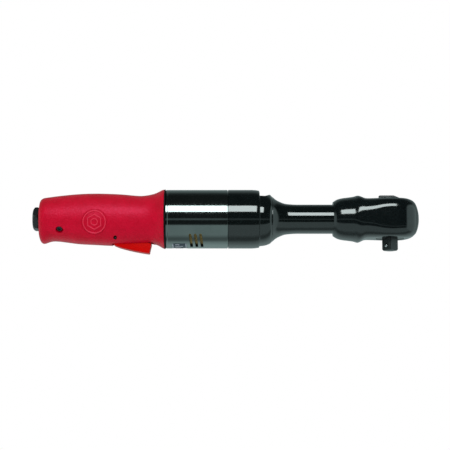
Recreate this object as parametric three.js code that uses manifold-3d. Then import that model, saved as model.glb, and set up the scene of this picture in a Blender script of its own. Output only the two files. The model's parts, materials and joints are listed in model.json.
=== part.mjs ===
// Air ratchet: a straight pneumatic ratchet wrench with a square drive.
// Millimetres, +Z up. The origin is the centre of the square drive's end face, +X runs from the air inlet
// to the head, and the tool's long axis runs along X at AXIS_Z above the origin. Everything below is drawn
// about that axis, so heights in the outlines count from it, and the tool group lifts the whole by AXIS_Z.
import * as THREE from 'three';
import { mergeVertices } from 'three/addons/utils/BufferGeometryUtils.js';
import Module from 'manifold-3d';

// ---- driving dimensions -----------------------------------------------------------------------------

const AXIS_Z = 25.6; // long axis above the end of the square drive
const GAP = 0.3; // clearance between neighbouring pieces
const DEG = Math.PI / 180;
const FINE = 32; // facets round a large turned piece
const MEDIUM = 18;
const COARSE = 8;

const CORE_R = 13.5; // aluminium handle core
const CORE_BORE_R = 8.5;
const CORE_X = [-280.2, -178.5];
const GRIP_X = [-283.3, -182.4];
const GRIP_REAR_WALL = 2.8;

const HEX_ACROSS_FLATS = 17.5; // inlet bushing
const HEX_X = [-288.6, -283.6];
const HEX_FACE_R = 7.5;
const HEX_TURN = 6.4; // first corner above the horizontal, degrees
const INLET_BORE_R = 5.7;
const BUSHING_END_X = -270;

const SEAT_X = [-219.2, -215.5]; // throttle seat
const SEAT_HOLE_R = 4.2;
const VALVE_DISC_R = 6;
const VALVE_STEM_R = 1.5;

const TRIGGER_PIN = [-221.4, -16.4]; // x, z
const TRIGGER_PIN_R = 1.2;
const TRIGGER_PIN_HALF = 8.6; // half the pin's length
const TRIGGER_HUB_R = 2.6;
const TRIGGER_HALF_WIDTH = 5.6;
const TRIGGER_SLOT_X = [-224.3, -191];
const PUSH_PIN_X = -203.4;
const PUSH_PIN_R = 1.5;

const SCREW_X = -266;
const SCREW_TURN = 126; // swings the screw from +Z to the lower near side, degrees
const SCREW_HOLE_R = 3;

const MOTOR_R = 23.7;
const MOTOR_X = [-181.2, -131.3];
const MOTOR_BORE_R = 20.1;
const SPIGOT_R = 21.6;
const SPIGOT_END_X = -117.5;
const MUFFLER_RECESS_R = 22;
const MUFFLER_X = [-163.7, -148.3];
const EXHAUST_SLOTS = 3;
const EXHAUST_PITCH = 4.2;
const EXHAUST_WIDTH = 2.2;
const EXHAUST_SLANT = -8; // degrees
const EXHAUST_Y = [4.8, 18.4]; // each side has its own slots, with a bridge between them
const EXHAUST_FIRST_X = -163.4; // where the first slot's centre plane meets the long axis

const LINER_R = 19.8; // end plates, cylinder and ring gear
const CYLINDER_X = [-169.4, -141.3];
const CYLINDER_BORE_R = 15.2;
const ECCENTRICITY = 1.3;
const ROTOR_R = 13.4;
const VANES = 5;
const VANE_THICKNESS = 1.7;
const VANE_R = [8.2, 13.3];

const BEARING_WIDTH = 4.6;
const BEARING_BORE_R = 5.3;
const BEARING_R = 10.5;
const BALL_R = 1.1;
const BALL_RING_R = 7.8;
const BALLS = 7;

const GEAR_MODULE = 0.7;
const SUN_TEETH = 12;
const PLANET_TEETH = 18;
const RING_TEETH = 48;
const PLANETS = 3;
const PLANET_ORBIT_R = GEAR_MODULE * (SUN_TEETH + PLANET_TEETH) / 2;
const PLANET_PIN_R = 2;
const TOOTH_ADDENDUM = 0.6;
const TOOTH_DEDENDUM = 0.8;
const TOOTH_BACKLASH = 0.14; // per flank

const NUT_X = [-131, -95.4];
const NUT_BORE_R = 16.5;
const NUT_NOTCH_TURNS = [0, -120]; // spanner notches, from +Z towards -Y, degrees
const HUB_R = 16.2;
const CLAMP_RING_X = [-117.2, -113.2];
const NECK_R = 11.8;
const SHAFT_BORE_R = 7.6;
const NEEDLE_X = [-46.5, -31];
const NEEDLE_R = [6.5, 8.9];

const EAR_INNER_Z = 7; // half the height of the slot between the head's ears
const EAR_OUTER_Z = 14;
const HEAD_R = 17;
const BOOT_HALF_HEIGHT = 16;
const BOOT_HALF_WIDTH = 19.3;

const CRANK_THROW = 2;
const CRANK_PIN_R = 2.2;
const CRANK_BUSHING_R = 3.5;
const CRANK_PIN_X = [-29.3, -19.3];

const YOKE_HALF_HEIGHT = 5.6;
const YOKE_R = 16.3;
const YOKE_TEETH = 72;
const YOKE_TIP_R = 12.6;
const YOKE_ROOT_R = 13.4;

const DRUM_R = 12.2;
const LOWER_JOURNAL_R = 10.7;
const UPPER_JOURNAL_R = 9.8;
const KNOB_BORE_R = 5;
const PAWL_PIVOT_X = 8;
const PAWL_PIN_R = 1.1;
const PAWL_ROCK = 10; // degrees from neutral to engaged
const PAWL_HALF_HEIGHT = 4.1;

const DRIVE_SQUARE = 9.525;
const DRIVE_CORNER_R = 1.17;
const DRIVE_TURN = 40; // how far the square stands turned from square-on, degrees
const SOCKET_BALL_Z = -21.9;
const SOCKET_BALL_R = 1.5;

const KNOB_R = 8.8;
const KNOB_TOP_Z = 19.2;

// ---- outlines ---------------------------------------------------------------------------------------

// Hand grip: height above the axis, depth below it and half-width, each as [x, value].
const GRIP_TOP = [
  [-283.3, 12.6], [-282.9, 14.4], [-282, 15.8], [-280.4, 16.9], [-278, 17.4], [-267, 18.9], [-251, 20.4],
  [-236, 20.8], [-218.5, 20.2], [-202.5, 18.9], [-197.4, 19.2], [-191, 20.5], [-187.7, 21.8], [-184.4, 23.5],
  [-182.4, 24.1],
];
const GRIP_BOTTOM = [
  [-283.3, 15.2], [-282.7, 17.2], [-281.7, 19], [-280.2, 20], [-278.4, 19.9], [-276.8, 19.3], [-275, 18.7],
  [-272, 18.1], [-267, 18.3], [-260, 19.2], [-251, 20.3], [-238, 21], [-223.3, 21.7], [-207, 21.4],
  [-195, 20.8], [-191, 20.7], [-189, 20.8], [-187.5, 21.4], [-185.8, 22.3], [-184.2, 23.3], [-182.4, 24.1],
];
const GRIP_SIDE = [
  [-283.3, 12], [-282.7, 14], [-281.5, 15.6], [-279, 16.9], [-270, 17.8], [-240, 18.9], [-215, 18.6],
  [-202, 18.3], [-194, 19.1], [-188, 21.2], [-184.4, 23.4], [-182.4, 24.1],
];

// Outside of the head boot: x, half-width, half-height and corner radius of each rounded section.
const BOOT_SECTIONS = [
  [-46, 13.9, 13.9, 13.9], [-45.1, 14.5, 14.5, 14.5], [-43.5, 15.5, 15.5, 15.5], [-41.5, 16.3, 16.3, 16.3],
  [-38.5, 17, 17, 17], [-33.8, 17.6, 17.6, 17.6], [-29.5, 18.3, 18.2, 18], [-26.2, 19, 18.9, 17.3],
  [-24.2, 19.2, 18.2, 15.6], [-22.4, 19.3, 17.2, 14.1], [-20.8, 19.3, 16.4, 13.1],
  [-18.5, BOOT_HALF_WIDTH, BOOT_HALF_HEIGHT, 12.3], [-13, BOOT_HALF_WIDTH, BOOT_HALF_HEIGHT, 11.4],
  [-8, BOOT_HALF_WIDTH, BOOT_HALF_HEIGHT, 10], [-2, BOOT_HALF_WIDTH, BOOT_HALF_HEIGHT, 9],
  [4, BOOT_HALF_WIDTH, BOOT_HALF_HEIGHT, 9], [8, 18.9, BOOT_HALF_HEIGHT, 9.3], [11.2, 17.9, 15.9, 9.3],
  [14.2, 16.3, 15.5, 9.1], [17, 14.3, 14.7, 8.6], [19, 12.3, 13.6, 8], [20.7, 9.8, 11.8, 7],
  [22.2, 6.8, 8.4, 5.5], [23.1, 4.2, 4.8, 4], [23.4, 2, 2, 2],
];

// Neck flare of the ratchet housing in front of the clamp nut, as [x, radius].
const NECK_FLARE = [
  [-95.1, 18.2], [-93.7, 16.9], [-92, 15.6], [-88.9, 14], [-85, 12.6], [-79, 11.95], [-75, NECK_R],
];

// Outside of the clamp nut from its rear edge to its domed front, as [x, radius].
const NUT_OUTLINE = [
  [-131, 23.3], [-130.6, 23.75], [-112, 23.75], [-108.5, 23.55], [-106, 23.1], [-105.3, 21.9],
  [-101.8, 21.5], [-99.5, 20.9], [-98, 20.3], [-97, 19.8], [-96, 18.9], [-95.4, 18.2],
];

// ---- solids -----------------------------------------------------------------------------------------

const wasm = await Module();
wasm.setup();

function toSolid(geometry) {
  const plain = geometry.clone();
  plain.deleteAttribute('normal');
  plain.deleteAttribute('uv');
  const merged = mergeVertices(plain, 1e-4);
  const corners = merged.index.array;
  const kept = [];
  for (let i = 0; i < corners.length; i += 3) {
    const [a, b, c] = corners.slice(i, i + 3);
    if (a !== b && b !== c && c !== a) kept.push(a, b, c);
  }
  const vertProperties = merged.attributes.position.array;
  return new wasm.Manifold(new wasm.Mesh({ numProp: 3, vertProperties, triVerts: new Uint32Array(kept) }));
}

function toGeometry(solid) {
  const mesh = solid.getMesh();
  const geometry = new THREE.BufferGeometry();
  geometry.setAttribute('position', new THREE.BufferAttribute(mesh.vertProperties, 3));
  geometry.setIndex(new THREE.BufferAttribute(mesh.triVerts, 1));
  geometry.computeVertexNormals();
  return geometry;
}

// A lathe solid; the outline runs round the half-section and either touches the axis or closes on itself.
function revolve(outline, segments) {
  const points = outline.map(([radius, height]) => new THREE.Vector2(radius, height));
  if (THREE.ShapeUtils.isClockWise(points)) points.reverse();
  if (points.every((point) => point.x > 0)) points.push(points[0].clone());
  return new THREE.LatheGeometry(points, segments);
}

// Turned about the X axis from [x, radius] points.
function turnedX(outline, segments = FINE) {
  return revolve(outline.map(([x, radius]) => [radius, x]), segments).rotateZ(-Math.PI / 2);
}

// Turned about the Z axis from [radius, z] points.
function turnedZ(outline, segments = MEDIUM) {
  return revolve(outline, segments).rotateX(Math.PI / 2);
}

function ringX([x0, x1], innerR, outerR, segments = FINE) {
  return turnedX([[x0, innerR], [x0, outerR], [x1, outerR], [x1, innerR]], segments);
}

function rodX([x0, x1], radius, segments = COARSE) {
  return turnedX([[x0, 0], [x0, radius], [x1, radius], [x1, 0]], segments);
}

function rodZ([z0, z1], radius, segments = COARSE) {
  return turnedZ([[0, z0], [radius, z0], [radius, z1], [0, z1]], segments);
}

function block([x0, x1], [y0, y1], [z0, z1]) {
  const geometry = new THREE.BoxGeometry(x1 - x0, y1 - y0, z1 - z0);
  return geometry.translate((x0 + x1) / 2, (y0 + y1) / 2, (z0 + z1) / 2);
}

const ALONG_X = new THREE.Matrix4().set(0, 0, 1, 0, 1, 0, 0, 0, 0, 1, 0, 0, 0, 0, 0, 1);
const ALONG_Y = new THREE.Matrix4().set(1, 0, 0, 0, 0, 0, -1, 0, 0, 1, 0, 0, 0, 0, 0, 1);

// A flat outline drawn in the YZ, XZ or XY plane and extruded along the remaining axis.
function prism(shape, [low, high], basis = null, curveSegments = 6) {
  const depth = high - low;
  const geometry = new THREE.ExtrudeGeometry(shape, { depth, bevelEnabled: false, curveSegments });
  const start = basis === ALONG_Y ? -high : low;
  geometry.translate(0, 0, start);
  return basis ? geometry.applyMatrix4(basis) : geometry;
}

function outline(points) {
  return new THREE.Shape(points.map(([u, v]) => new THREE.Vector2(u, v)));
}

// The part of a ring between two angles, in the YZ plane.
function arcBand(innerR, outerR, startAngle, endAngle) {
  const shape = new THREE.Shape();
  shape.absarc(0, 0, outerR, startAngle, endAngle, false);
  shape.absarc(0, 0, innerR, endAngle, startAngle, true);
  return shape;
}

// Joins closed rings of points, one at each station along X, into one skinned solid.
function loft(rings) {
  const count = rings[0].length;
  const positions = rings.flat().flatMap((point) => [point.x, point.y, point.z]);
  const faces = [];
  for (let i = 0; i < rings.length - 1; i += 1) {
    for (let j = 0; j < count; j += 1) {
      const a = i * count + j;
      const b = i * count + (j + 1) % count;
      faces.push(a, b, a + count, b, b + count, a + count);
    }
  }
  const last = (rings.length - 1) * count;
  for (let j = 1; j < count - 1; j += 1) {
    faces.push(0, j + 1, j);
    faces.push(last, last + j, last + j + 1);
  }
  const geometry = new THREE.BufferGeometry();
  geometry.setAttribute('position', new THREE.Float32BufferAttribute(positions, 3));
  geometry.setIndex(faces);
  return geometry;
}

// A rounded rectangle across X, sampled off its quadrant points so that the flats stay straight.
function roundedRing(x, halfWidth, halfHeight, corner, count = 28) {
  const radius = Math.min(corner, halfWidth, halfHeight);
  return Array.from({ length: count }, (_, k) => {
    const angle = (k + 0.5) * 2 * Math.PI / count;
    const side = Math.sign(Math.cos(angle));
    const level = Math.sign(Math.sin(angle));
    const y = side * (halfWidth - radius) + radius * Math.cos(angle);
    const z = level * (halfHeight - radius) + radius * Math.sin(angle);
    return new THREE.Vector3(x, y, z);
  });
}

// A smooth curve through [x, value] points, as a function of x.
function through(points) {
  const slope = (i) => {
    const before = points[Math.max(i - 1, 0)];
    const after = points[Math.min(i + 1, points.length - 1)];
    return (after[1] - before[1]) / (after[0] - before[0]);
  };
  return (x) => {
    let i = 0;
    while (i < points.length - 2 && x > points[i + 1][0]) i += 1;
    const [x0, v0] = points[i];
    const [x1, v1] = points[i + 1];
    const span = x1 - x0;
    const t = THREE.MathUtils.clamp((x - x0) / span, 0, 1);
    const ease = t * t * (3 - 2 * t);
    const rise = span * t * (1 - t) * (slope(i) * (1 - t) - slope(i + 1) * t);
    return v0 + (v1 - v0) * ease + rise;
  };
}

// A gear outline with straight flanks; a positive depth is an outside gear and a negative one a ring gear.
function gearOutline(teeth, depthSign, firstTooth = 0) {
  const pitchR = GEAR_MODULE * teeth / 2;
  const tipR = pitchR + depthSign * TOOTH_ADDENDUM;
  const rootR = pitchR - depthSign * TOOTH_DEDENDUM;
  const halfTooth = Math.PI * GEAR_MODULE / 4 - TOOTH_BACKLASH;
  const slant = Math.tan(25 * DEG);
  const tipAngle = (halfTooth - TOOTH_ADDENDUM * slant) / tipR;
  const rootAngle = (halfTooth + TOOTH_DEDENDUM * slant) / rootR;
  const corners = [[rootR, -rootAngle], [tipR, -tipAngle], [tipR, tipAngle], [rootR, rootAngle]];
  const points = [];
  for (let k = 0; k < teeth; k += 1) {
    const centre = firstTooth + k * 2 * Math.PI / teeth;
    for (const [radius, angle] of corners) {
      points.push([radius * Math.cos(centre + angle), radius * Math.sin(centre + angle)]);
    }
  }
  return outline(points);
}

class Coil extends THREE.Curve {
  constructor(startR, endR, length, turns) {
    super();
    Object.assign(this, { startR, endR, length, turns });
  }

  getPoint(t, target = new THREE.Vector3()) {
    const radius = THREE.MathUtils.lerp(this.startR, this.endR, t);
    const angle = t * this.turns * 2 * Math.PI;
    return target.set(t * this.length, radius * Math.cos(angle), radius * Math.sin(angle));
  }
}

// A compression spring along X, from x0 to x1 over its wire centres.
function coilSpring([x0, x1], startR, endR, wireR, turns) {
  const section = new THREE.Shape();
  section.absarc(0, 0, wireR, 0, 2 * Math.PI, false);
  const path = new Coil(startR, endR, x1 - x0, turns);
  const options = { steps: turns * 8, extrudePath: path, bevelEnabled: false, curveSegments: 2 };
  return new THREE.ExtrudeGeometry(section, options).translate(x0, 0, 0);
}

// ---- assembly ---------------------------------------------------------------------------------------

const group = new THREE.Group();
const tool = new THREE.Group();
tool.position.z = AXIS_Z;
group.add(tool);

const FINISHES = {
  redGrip: [0xa80528, 0.55, 0],
  redTrigger: [0xc00808, 0.45, 0],
  gunmetal: [0x3c4444, 0.22, 1],
  blackNut: [0x16191a, 0.25, 0.6],
  blackBoot: [0x14181a, 0.25, 0],
  blackOxide: [0x23282a, 0.4, 0.8],
  steel: [0xaeb2b5, 0.35, 1],
  brass: [0xb08a3c, 0.4, 1],
  rubber: [0x151515, 0.8, 0],
  aluminium: [0xb9bcbf, 0.45, 1],
  vane: [0x7a4a2a, 0.7, 0],
  darkPlate: [0x2a3138, 0.4, 0.2],
};

function add(name, shape, finish, parent = tool) {
  const [color, roughness, metalness] = FINISHES[finish];
  const geometry = shape.isBufferGeometry ? shape : toGeometry(shape);
  const mesh = new THREE.Mesh(geometry, new THREE.MeshStandardMaterial({ color, roughness, metalness }));
  mesh.name = name;
  parent.add(mesh);
  return mesh;
}

function cut(body, ...tools) {
  return tools.reduce((rest, piece) => rest.subtract(toSolid(piece)), toSolid(body));
}

// ---- handle -----------------------------------------------------------------------------------------

function gripRing(x, top, bottom, side) {
  const count = 28;
  return Array.from({ length: count }, (_, k) => {
    const angle = k * 2 * Math.PI / count;
    const height = (Math.sin(angle) > 0 ? top : bottom) * Math.sin(angle);
    return new THREE.Vector3(x, side * Math.cos(angle), height);
  });
}

// Anything that lies along the grip screw, drawn along +Z from the axis.
function alongScrew(geometry) {
  return geometry.rotateX(SCREW_TURN * DEG).translate(SCREW_X, 0, 0);
}

function acrossPin(radius, halfLength) {
  const rod = rodZ([-halfLength, halfLength], radius).rotateX(Math.PI / 2);
  return rod.translate(TRIGGER_PIN[0], 0, TRIGGER_PIN[1]);
}

function handleGrip() {
  const top = through(GRIP_TOP);
  const side = through(GRIP_SIDE);
  const rings = GRIP_BOTTOM.map(([x, bottom]) => gripRing(x, top(x), bottom, side(x)));
  return cut(
    loft(rings),
    rodX([GRIP_X[0] + GRIP_REAR_WALL, GRIP_X[1] + 1], CORE_R + GAP, FINE),
    rodX([GRIP_X[0] - 1, GRIP_X[0] + GRIP_REAR_WALL + 1], CORE_BORE_R + 0.1, MEDIUM),
    block(TRIGGER_SLOT_X, [-6, 6], [-30, -CORE_R + 2]),
    acrossPin(TRIGGER_PIN_R + GAP, 20),
    alongScrew(rodZ([CORE_R - 1, 16], 1.5)),
    alongScrew(rodZ([14.9, 25], SCREW_HOLE_R)),
  );
}

function handleCore() {
  return cut(
    ringX(CORE_X, CORE_BORE_R, CORE_R, 32),
    rodZ([-15, -6], 4).translate(PUSH_PIN_X, 0, 0),
    alongScrew(rodZ([9.6, 15], 1.5)),
  );
}

function gripScrew() {
  const profile = [[0, 9.9], [1.2, 9.9], [1.2, 15.2], [2.25, 15.2], [2.25, 16], [2, 16.3], [0, 16.3]];
  return cut(alongScrew(turnedZ(profile, COARSE)), alongScrew(rodZ([15.4, 18], 1.1, 6)));
}

function inletBushing() {
  const cornerR = HEX_ACROSS_FLATS / 2 / Math.cos(30 * DEG);
  const [rear, front] = HEX_X;
  const flatsR = HEX_ACROSS_FLATS / 2;
  const corners = Array.from({ length: 6 }, (_, k) => {
    const angle = (180 - HEX_TURN + k * 60) * DEG;
    return [cornerR * Math.cos(angle), cornerR * Math.sin(angle)];
  });
  const hex = toSolid(prism(outline(corners), HEX_X, ALONG_X));
  const chamfer = turnedX([
    [rear, 0], [rear, HEX_FACE_R], [rear + 0.6, 8.6], [rear + 1.3, 9.4], [rear + 2.2, cornerR],
    [front - 0.9, cornerR], [front, flatsR], [front, 0],
  ], MEDIUM);
  const shank = rodX([front - 1, BUSHING_END_X], CORE_BORE_R - GAP, 24);
  const mouth = turnedX([
    [rear - 1, 0], [rear - 1, INLET_BORE_R + 1.6], [rear + 0.6, INLET_BORE_R], [rear + 1, 0],
  ], MEDIUM);
  const bore = rodX([rear - 1, BUSHING_END_X + 1], INLET_BORE_R, MEDIUM);
  const outside = hex.intersect(toSolid(chamfer)).add(toSolid(shank));
  return outside.subtract(toSolid(mouth)).subtract(toSolid(bore));
}

function inletScreen() {
  const [rim, floor] = [BUSHING_END_X + GAP, -252];
  const inside = floor - 0.8;
  const cup = turnedX([[floor, 0], [floor, 8.2], [rim, 8.2], [rim, 7.4], [inside, 7.4], [inside, 0]], 24);
  const holes = Array.from({ length: 6 }, (_, k) => {
    return rodX([floor - 2, floor + 1], 1.3, 8).translate(0, 4.4, 0).rotateX(k * 60 * DEG);
  });
  return cut(cup, rodX([floor - 2, floor + 1], 1.3, 8), ...holes);
}

function trigger() {
  const [pinX, pinZ] = TRIGGER_PIN;
  const shape = new THREE.Shape();
  shape.moveTo(-222.9, -21.4);
  shape.splineThru([[-218.5, -23.2], [-210.4, -25.4], [-202.3, -27.1], [-196.4, -28.1]].map(
    ([x, z]) => new THREE.Vector2(x, z),
  ));
  shape.quadraticCurveTo(-194.4, -28.3, -194, -26.6);
  shape.lineTo(-192.5, -20.3);
  shape.absarc(pinX, pinZ, TRIGGER_HUB_R, 77 * DEG, 190 * DEG, false);
  const body = prism(shape, [-TRIGGER_HALF_WIDTH, TRIGGER_HALF_WIDTH], ALONG_Y, 8);
  return cut(body, acrossPin(TRIGGER_PIN_R + GAP, 10));
}

function throttleValve() {
  const discFront = SEAT_X[0] - GAP;
  return turnedX([
    [discFront - 2.4, 0], [discFront - 2.4, VALVE_DISC_R - 0.6], [discFront - 1.8, VALVE_DISC_R],
    [discFront, VALVE_DISC_R], [discFront, VALVE_STEM_R], [-199.4, VALVE_STEM_R], [-199, 1.1], [-199, 0],
  ], MEDIUM);
}

function pushPin() {
  const profile = [[0, -17.2], [PUSH_PIN_R, -17.2], [PUSH_PIN_R, -2.6], [0.8, -1.9], [0, -1.9]];
  return turnedZ(profile, COARSE).translate(PUSH_PIN_X, 0, 0);
}

function pushPinBushing() {
  const inner = PUSH_PIN_R + GAP;
  const profile = [[inner, -13.2], [3.7, -13.2], [3.7, -8.9], [2.9, -8.9], [2.9, -10.6], [inner, -10.6]];
  return turnedZ(profile).translate(PUSH_PIN_X, 0, 0);
}

function buildHandle() {
  add('handle_grip', handleGrip(), 'redGrip');
  add('handle_core', handleCore(), 'aluminium');
  add('inlet_bushing', inletBushing(), 'blackOxide');
  add('inlet_screen', inletScreen(), 'steel');
  add('grip_screw', gripScrew(), 'blackOxide');
  add('trigger_pin', acrossPin(TRIGGER_PIN_R, TRIGGER_PIN_HALF), 'steel');
  add('trigger', trigger(), 'redTrigger');
  add('valve_seat', ringX(SEAT_X, SEAT_HOLE_R, CORE_BORE_R - GAP, MEDIUM), 'brass');
  add('throttle_valve', throttleValve(), 'brass');
  add('valve_spring', coilSpring([-250.7, -224.8], 7, 4.2, 0.45, 5), 'steel');
  add('push_pin', pushPin(), 'steel');
  add('push_pin_bushing', pushPinBushing(), 'brass');
  const oRing = new THREE.TorusGeometry(2.35, 0.4, 5, 14).translate(PUSH_PIN_X, 0, -9.8);
  add('push_pin_o_ring', oRing, 'rubber');
  add('grip_gasket', ringX([-182.1, -181.5], CORE_R + GAP, 24.1), 'rubber');
}

// ---- air motor --------------------------------------------------------------------------------------

function motorHousing() {
  const [rear, front] = MOTOR_X;
  const body = turnedX([
    [rear, CORE_R + GAP], [rear, MOTOR_R - 0.5], [rear + 0.5, MOTOR_R], [front, MOTOR_R], [front, SPIGOT_R],
    [SPIGOT_END_X, SPIGOT_R], [SPIGOT_END_X, MOTOR_BORE_R], [MUFFLER_X[1] + GAP, MOTOR_BORE_R],
    [MUFFLER_X[1] + GAP, MUFFLER_RECESS_R], [MUFFLER_X[0] - GAP, MUFFLER_RECESS_R],
    [MUFFLER_X[0] - GAP, MOTOR_BORE_R], [-176.3, MOTOR_BORE_R], [-176.3, 7], [-178.2, 7],
    [-178.2, CORE_R + GAP],
  ]);
  const slots = Array.from({ length: EXHAUST_SLOTS }, (_, k) => {
    const x = EXHAUST_FIRST_X + k * EXHAUST_PITCH;
    return [1, -1].map((side) => {
      const span = EXHAUST_Y.map((y) => side * y).sort((a, b) => a - b);
      const slot = block([-EXHAUST_WIDTH / 2, EXHAUST_WIDTH / 2], span, [-26, -14]);
      return slot.rotateY(EXHAUST_SLANT * DEG).translate(x, 0, 0);
    });
  }).flat();
  const plateRecess = prism(arcBand(23, 25, -117 * DEG, -63 * DEG), [-176.1, -163.9], ALONG_X);
  return cut(body, plateRecess, ...slots);
}

function endPlate(face, pocketSide) {
  // face is the plate's x at the cylinder; the bearing pocket opens on the other side.
  const outer = face + pocketSide * 6.3;
  const floor = face + pocketSide * 1.1;
  const body = turnedX([
    [face, 5.4], [floor, 5.4], [floor, BEARING_R + GAP], [outer, BEARING_R + GAP], [outer, LINER_R],
    [face, LINER_R],
  ]);
  return toSolid(body);
}

function rotor() {
  const [rear, front] = CYLINDER_X;
  const shaftR = BEARING_BORE_R - GAP;
  const body = turnedX([
    [rear - 6.1, 0], [rear - 6.1, shaftR], [rear, shaftR], [rear, ROTOR_R], [front, ROTOR_R],
    [front, shaftR], [-134.6, shaftR], [-134.6, 3], [-124.2, 3], [-124.2, 0],
  ]);
  const sun = toSolid(prism(gearOutline(SUN_TEETH, 1), [-134.8, -124.2], ALONG_X));
  const slotHalf = VANE_THICKNESS / 2 + GAP;
  const slots = Array.from({ length: VANES }, (_, k) => {
    const slot = block([rear - 1, front + 1], [VANE_R[0] - 0.7, ROTOR_R + 1], [-slotHalf, slotHalf]);
    return slot.rotateX(k * 2 * Math.PI / VANES);
  });
  return cut(body, ...slots).add(sun);
}

function ballCage(centreX) {
  const ring = ringX([centreX - 0.5, centreX + 0.5], BALL_RING_R - 0.5, BALL_RING_R + 0.5, 14);
  let cage = toSolid(ring);
  for (let k = 0; k < BALLS; k += 1) {
    const ball = new THREE.IcosahedronGeometry(BALL_R).translate(centreX, BALL_RING_R, 0);
    cage = cage.add(toSolid(ball.rotateX(k * 2 * Math.PI / BALLS)));
  }
  return cage;
}

function addBearing(name, centreX) {
  const span = [centreX - BEARING_WIDTH / 2, centreX + BEARING_WIDTH / 2];
  add(`${name}_bearing_outer`, ringX(span, 9.1, BEARING_R, MEDIUM), 'steel');
  add(`${name}_bearing_inner`, ringX(span, BEARING_BORE_R, 6.5, MEDIUM), 'steel');
  add(`${name}_bearing_balls`, ballCage(centreX), 'steel');
}

function buildMotor() {
  add('motor_housing', motorHousing(), 'gunmetal');
  add('exhaust_muffler', ringX(MUFFLER_X, MOTOR_BORE_R + GAP, MUFFLER_RECESS_R - GAP), 'brass');
  const plate = arcBand(23.3, 23.65, -116.4 * DEG, -63.6 * DEG);
  add('rating_plate', prism(plate, [-175.8, -164.2], ALONG_X), 'darkPlate');

  const inletPort = prism(arcBand(13.4, 15.8, -50 * DEG, 50 * DEG), [-178, -168], ALONG_X);
  add('rear_end_plate', endPlate(CYLINDER_X[0] - GAP, -1).subtract(toSolid(inletPort)), 'steel');
  add('front_end_plate', endPlate(CYLINDER_X[1] + GAP, 1), 'steel');

  const bore = rodX([CYLINDER_X[0] - 1, CYLINDER_X[1] + 1], CYLINDER_BORE_R, FINE);
  bore.translate(0, 0, ECCENTRICITY);
  const ports = Array.from({ length: EXHAUST_SLOTS }, (_, k) => {
    return block([-162 + k * 5, -159 + k * 5], [-3, 3], [-22, -10]);
  });
  add('cylinder', cut(rodX(CYLINDER_X, LINER_R), bore, ...ports), 'steel');

  add('rotor', rotor(), 'steel');
  const halfVane = VANE_THICKNESS / 2;
  for (let k = 0; k < VANES; k += 1) {
    const blade = block([CYLINDER_X[0] + GAP, CYLINDER_X[1] - GAP], VANE_R, [-halfVane, halfVane]);
    const vane = add(`vane_${k + 1}`, blade, 'vane');
    vane.rotation.x = k * 2 * Math.PI / VANES;
  }
  addBearing('rear', CYLINDER_X[0] - 4);
  addBearing('front', CYLINDER_X[1] + 4);
}

// ---- reduction gear ---------------------------------------------------------------------------------

function buildGears() {
  const toothed = new THREE.Shape();
  toothed.absarc(0, 0, LINER_R, 0, 2 * Math.PI, false);
  toothed.holes.push(gearOutline(RING_TEETH, -1));
  add('ring_gear', prism(toothed, [-134.4, -119.3], ALONG_X, 22), 'steel');

  const bore = rodX([-133, -123], PLANET_PIN_R + GAP, 12);
  const gear = prism(gearOutline(PLANET_TEETH, 1, Math.PI / PLANET_TEETH), [-132, -124], ALONG_X);
  const pin = rodX([-132.2, -120.1], PLANET_PIN_R, 12);
  const carrierHole = rodX([-125, -119], PLANET_PIN_R + GAP, 12).translate(0, PLANET_ORBIT_R, 0);
  const carrierHoles = [];
  for (let k = 0; k < PLANETS; k += 1) {
    const angle = k * 2 * Math.PI / PLANETS;
    const orbit = new THREE.Group();
    orbit.rotation.x = angle;
    tool.add(orbit);
    add(`planet_gear_${k + 1}`, cut(gear, bore), 'steel', orbit).position.y = PLANET_ORBIT_R;
    add(`planet_pin_${k + 1}`, pin, 'steel', orbit).position.y = PLANET_ORBIT_R;
    carrierHoles.push(carrierHole.clone().rotateX(angle));
  }
  const hexSocket = rodX([-125, -119], 5.35, 6);
  add('planet_carrier', cut(rodX([-123.7, -119.9], 15.6, MEDIUM), hexSocket, ...carrierHoles), 'steel');
}

// ---- clamp nut, ratchet housing and crankshaft ------------------------------------------------------

function clampNut() {
  const [rear, front] = NUT_X;
  const shoulder = CLAMP_RING_X[1] + GAP;
  const skirtR = SPIGOT_R + GAP;
  const body = turnedX([
    ...NUT_OUTLINE, [front, NUT_BORE_R], [shoulder, NUT_BORE_R], [shoulder, skirtR], [rear, skirtR],
  ]);
  const notch = outline([
    [-105.5, 17.2], [-101, 17.2], [-98.6, 18.4], [-97.2, 19.4], [-96.8, 26], [-105.5, 26],
  ]);
  const notches = NUT_NOTCH_TURNS.map((turn) => prism(notch, [-15, 15], ALONG_Y).rotateX(turn * DEG));
  return cut(body, ...notches);
}

// Sections of the ratchet housing's head, from the neck to the nose, grown all round by a clearance.
function headRings(grow) {
  const rear = [
    [-46.6, NECK_R, NECK_R, NECK_R], [-40, NECK_R, NECK_R, NECK_R], [-35, 13.6, 12.8, 12],
    [-30, 16, 13.7, 10], [-25, 16.9, EAR_OUTER_Z, 8.5], [-20, HEAD_R, EAR_OUTER_Z, 8],
  ];
  const nose = [0, 20, 38, 53, 66, 77, 85].map((degrees) => {
    const side = Math.cos(degrees * DEG);
    const halfHeight = EAR_OUTER_Z - 5.5 * (1 - side) ** 2.5;
    return [(HEAD_R + grow) * Math.sin(degrees * DEG), HEAD_R * side, halfHeight, 8];
  });
  return [...rear, ...nose].map(([x, halfWidth, halfHeight, corner]) => {
    return roundedRing(x, halfWidth + grow, halfHeight + grow, corner + grow, 20);
  });
}

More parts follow.
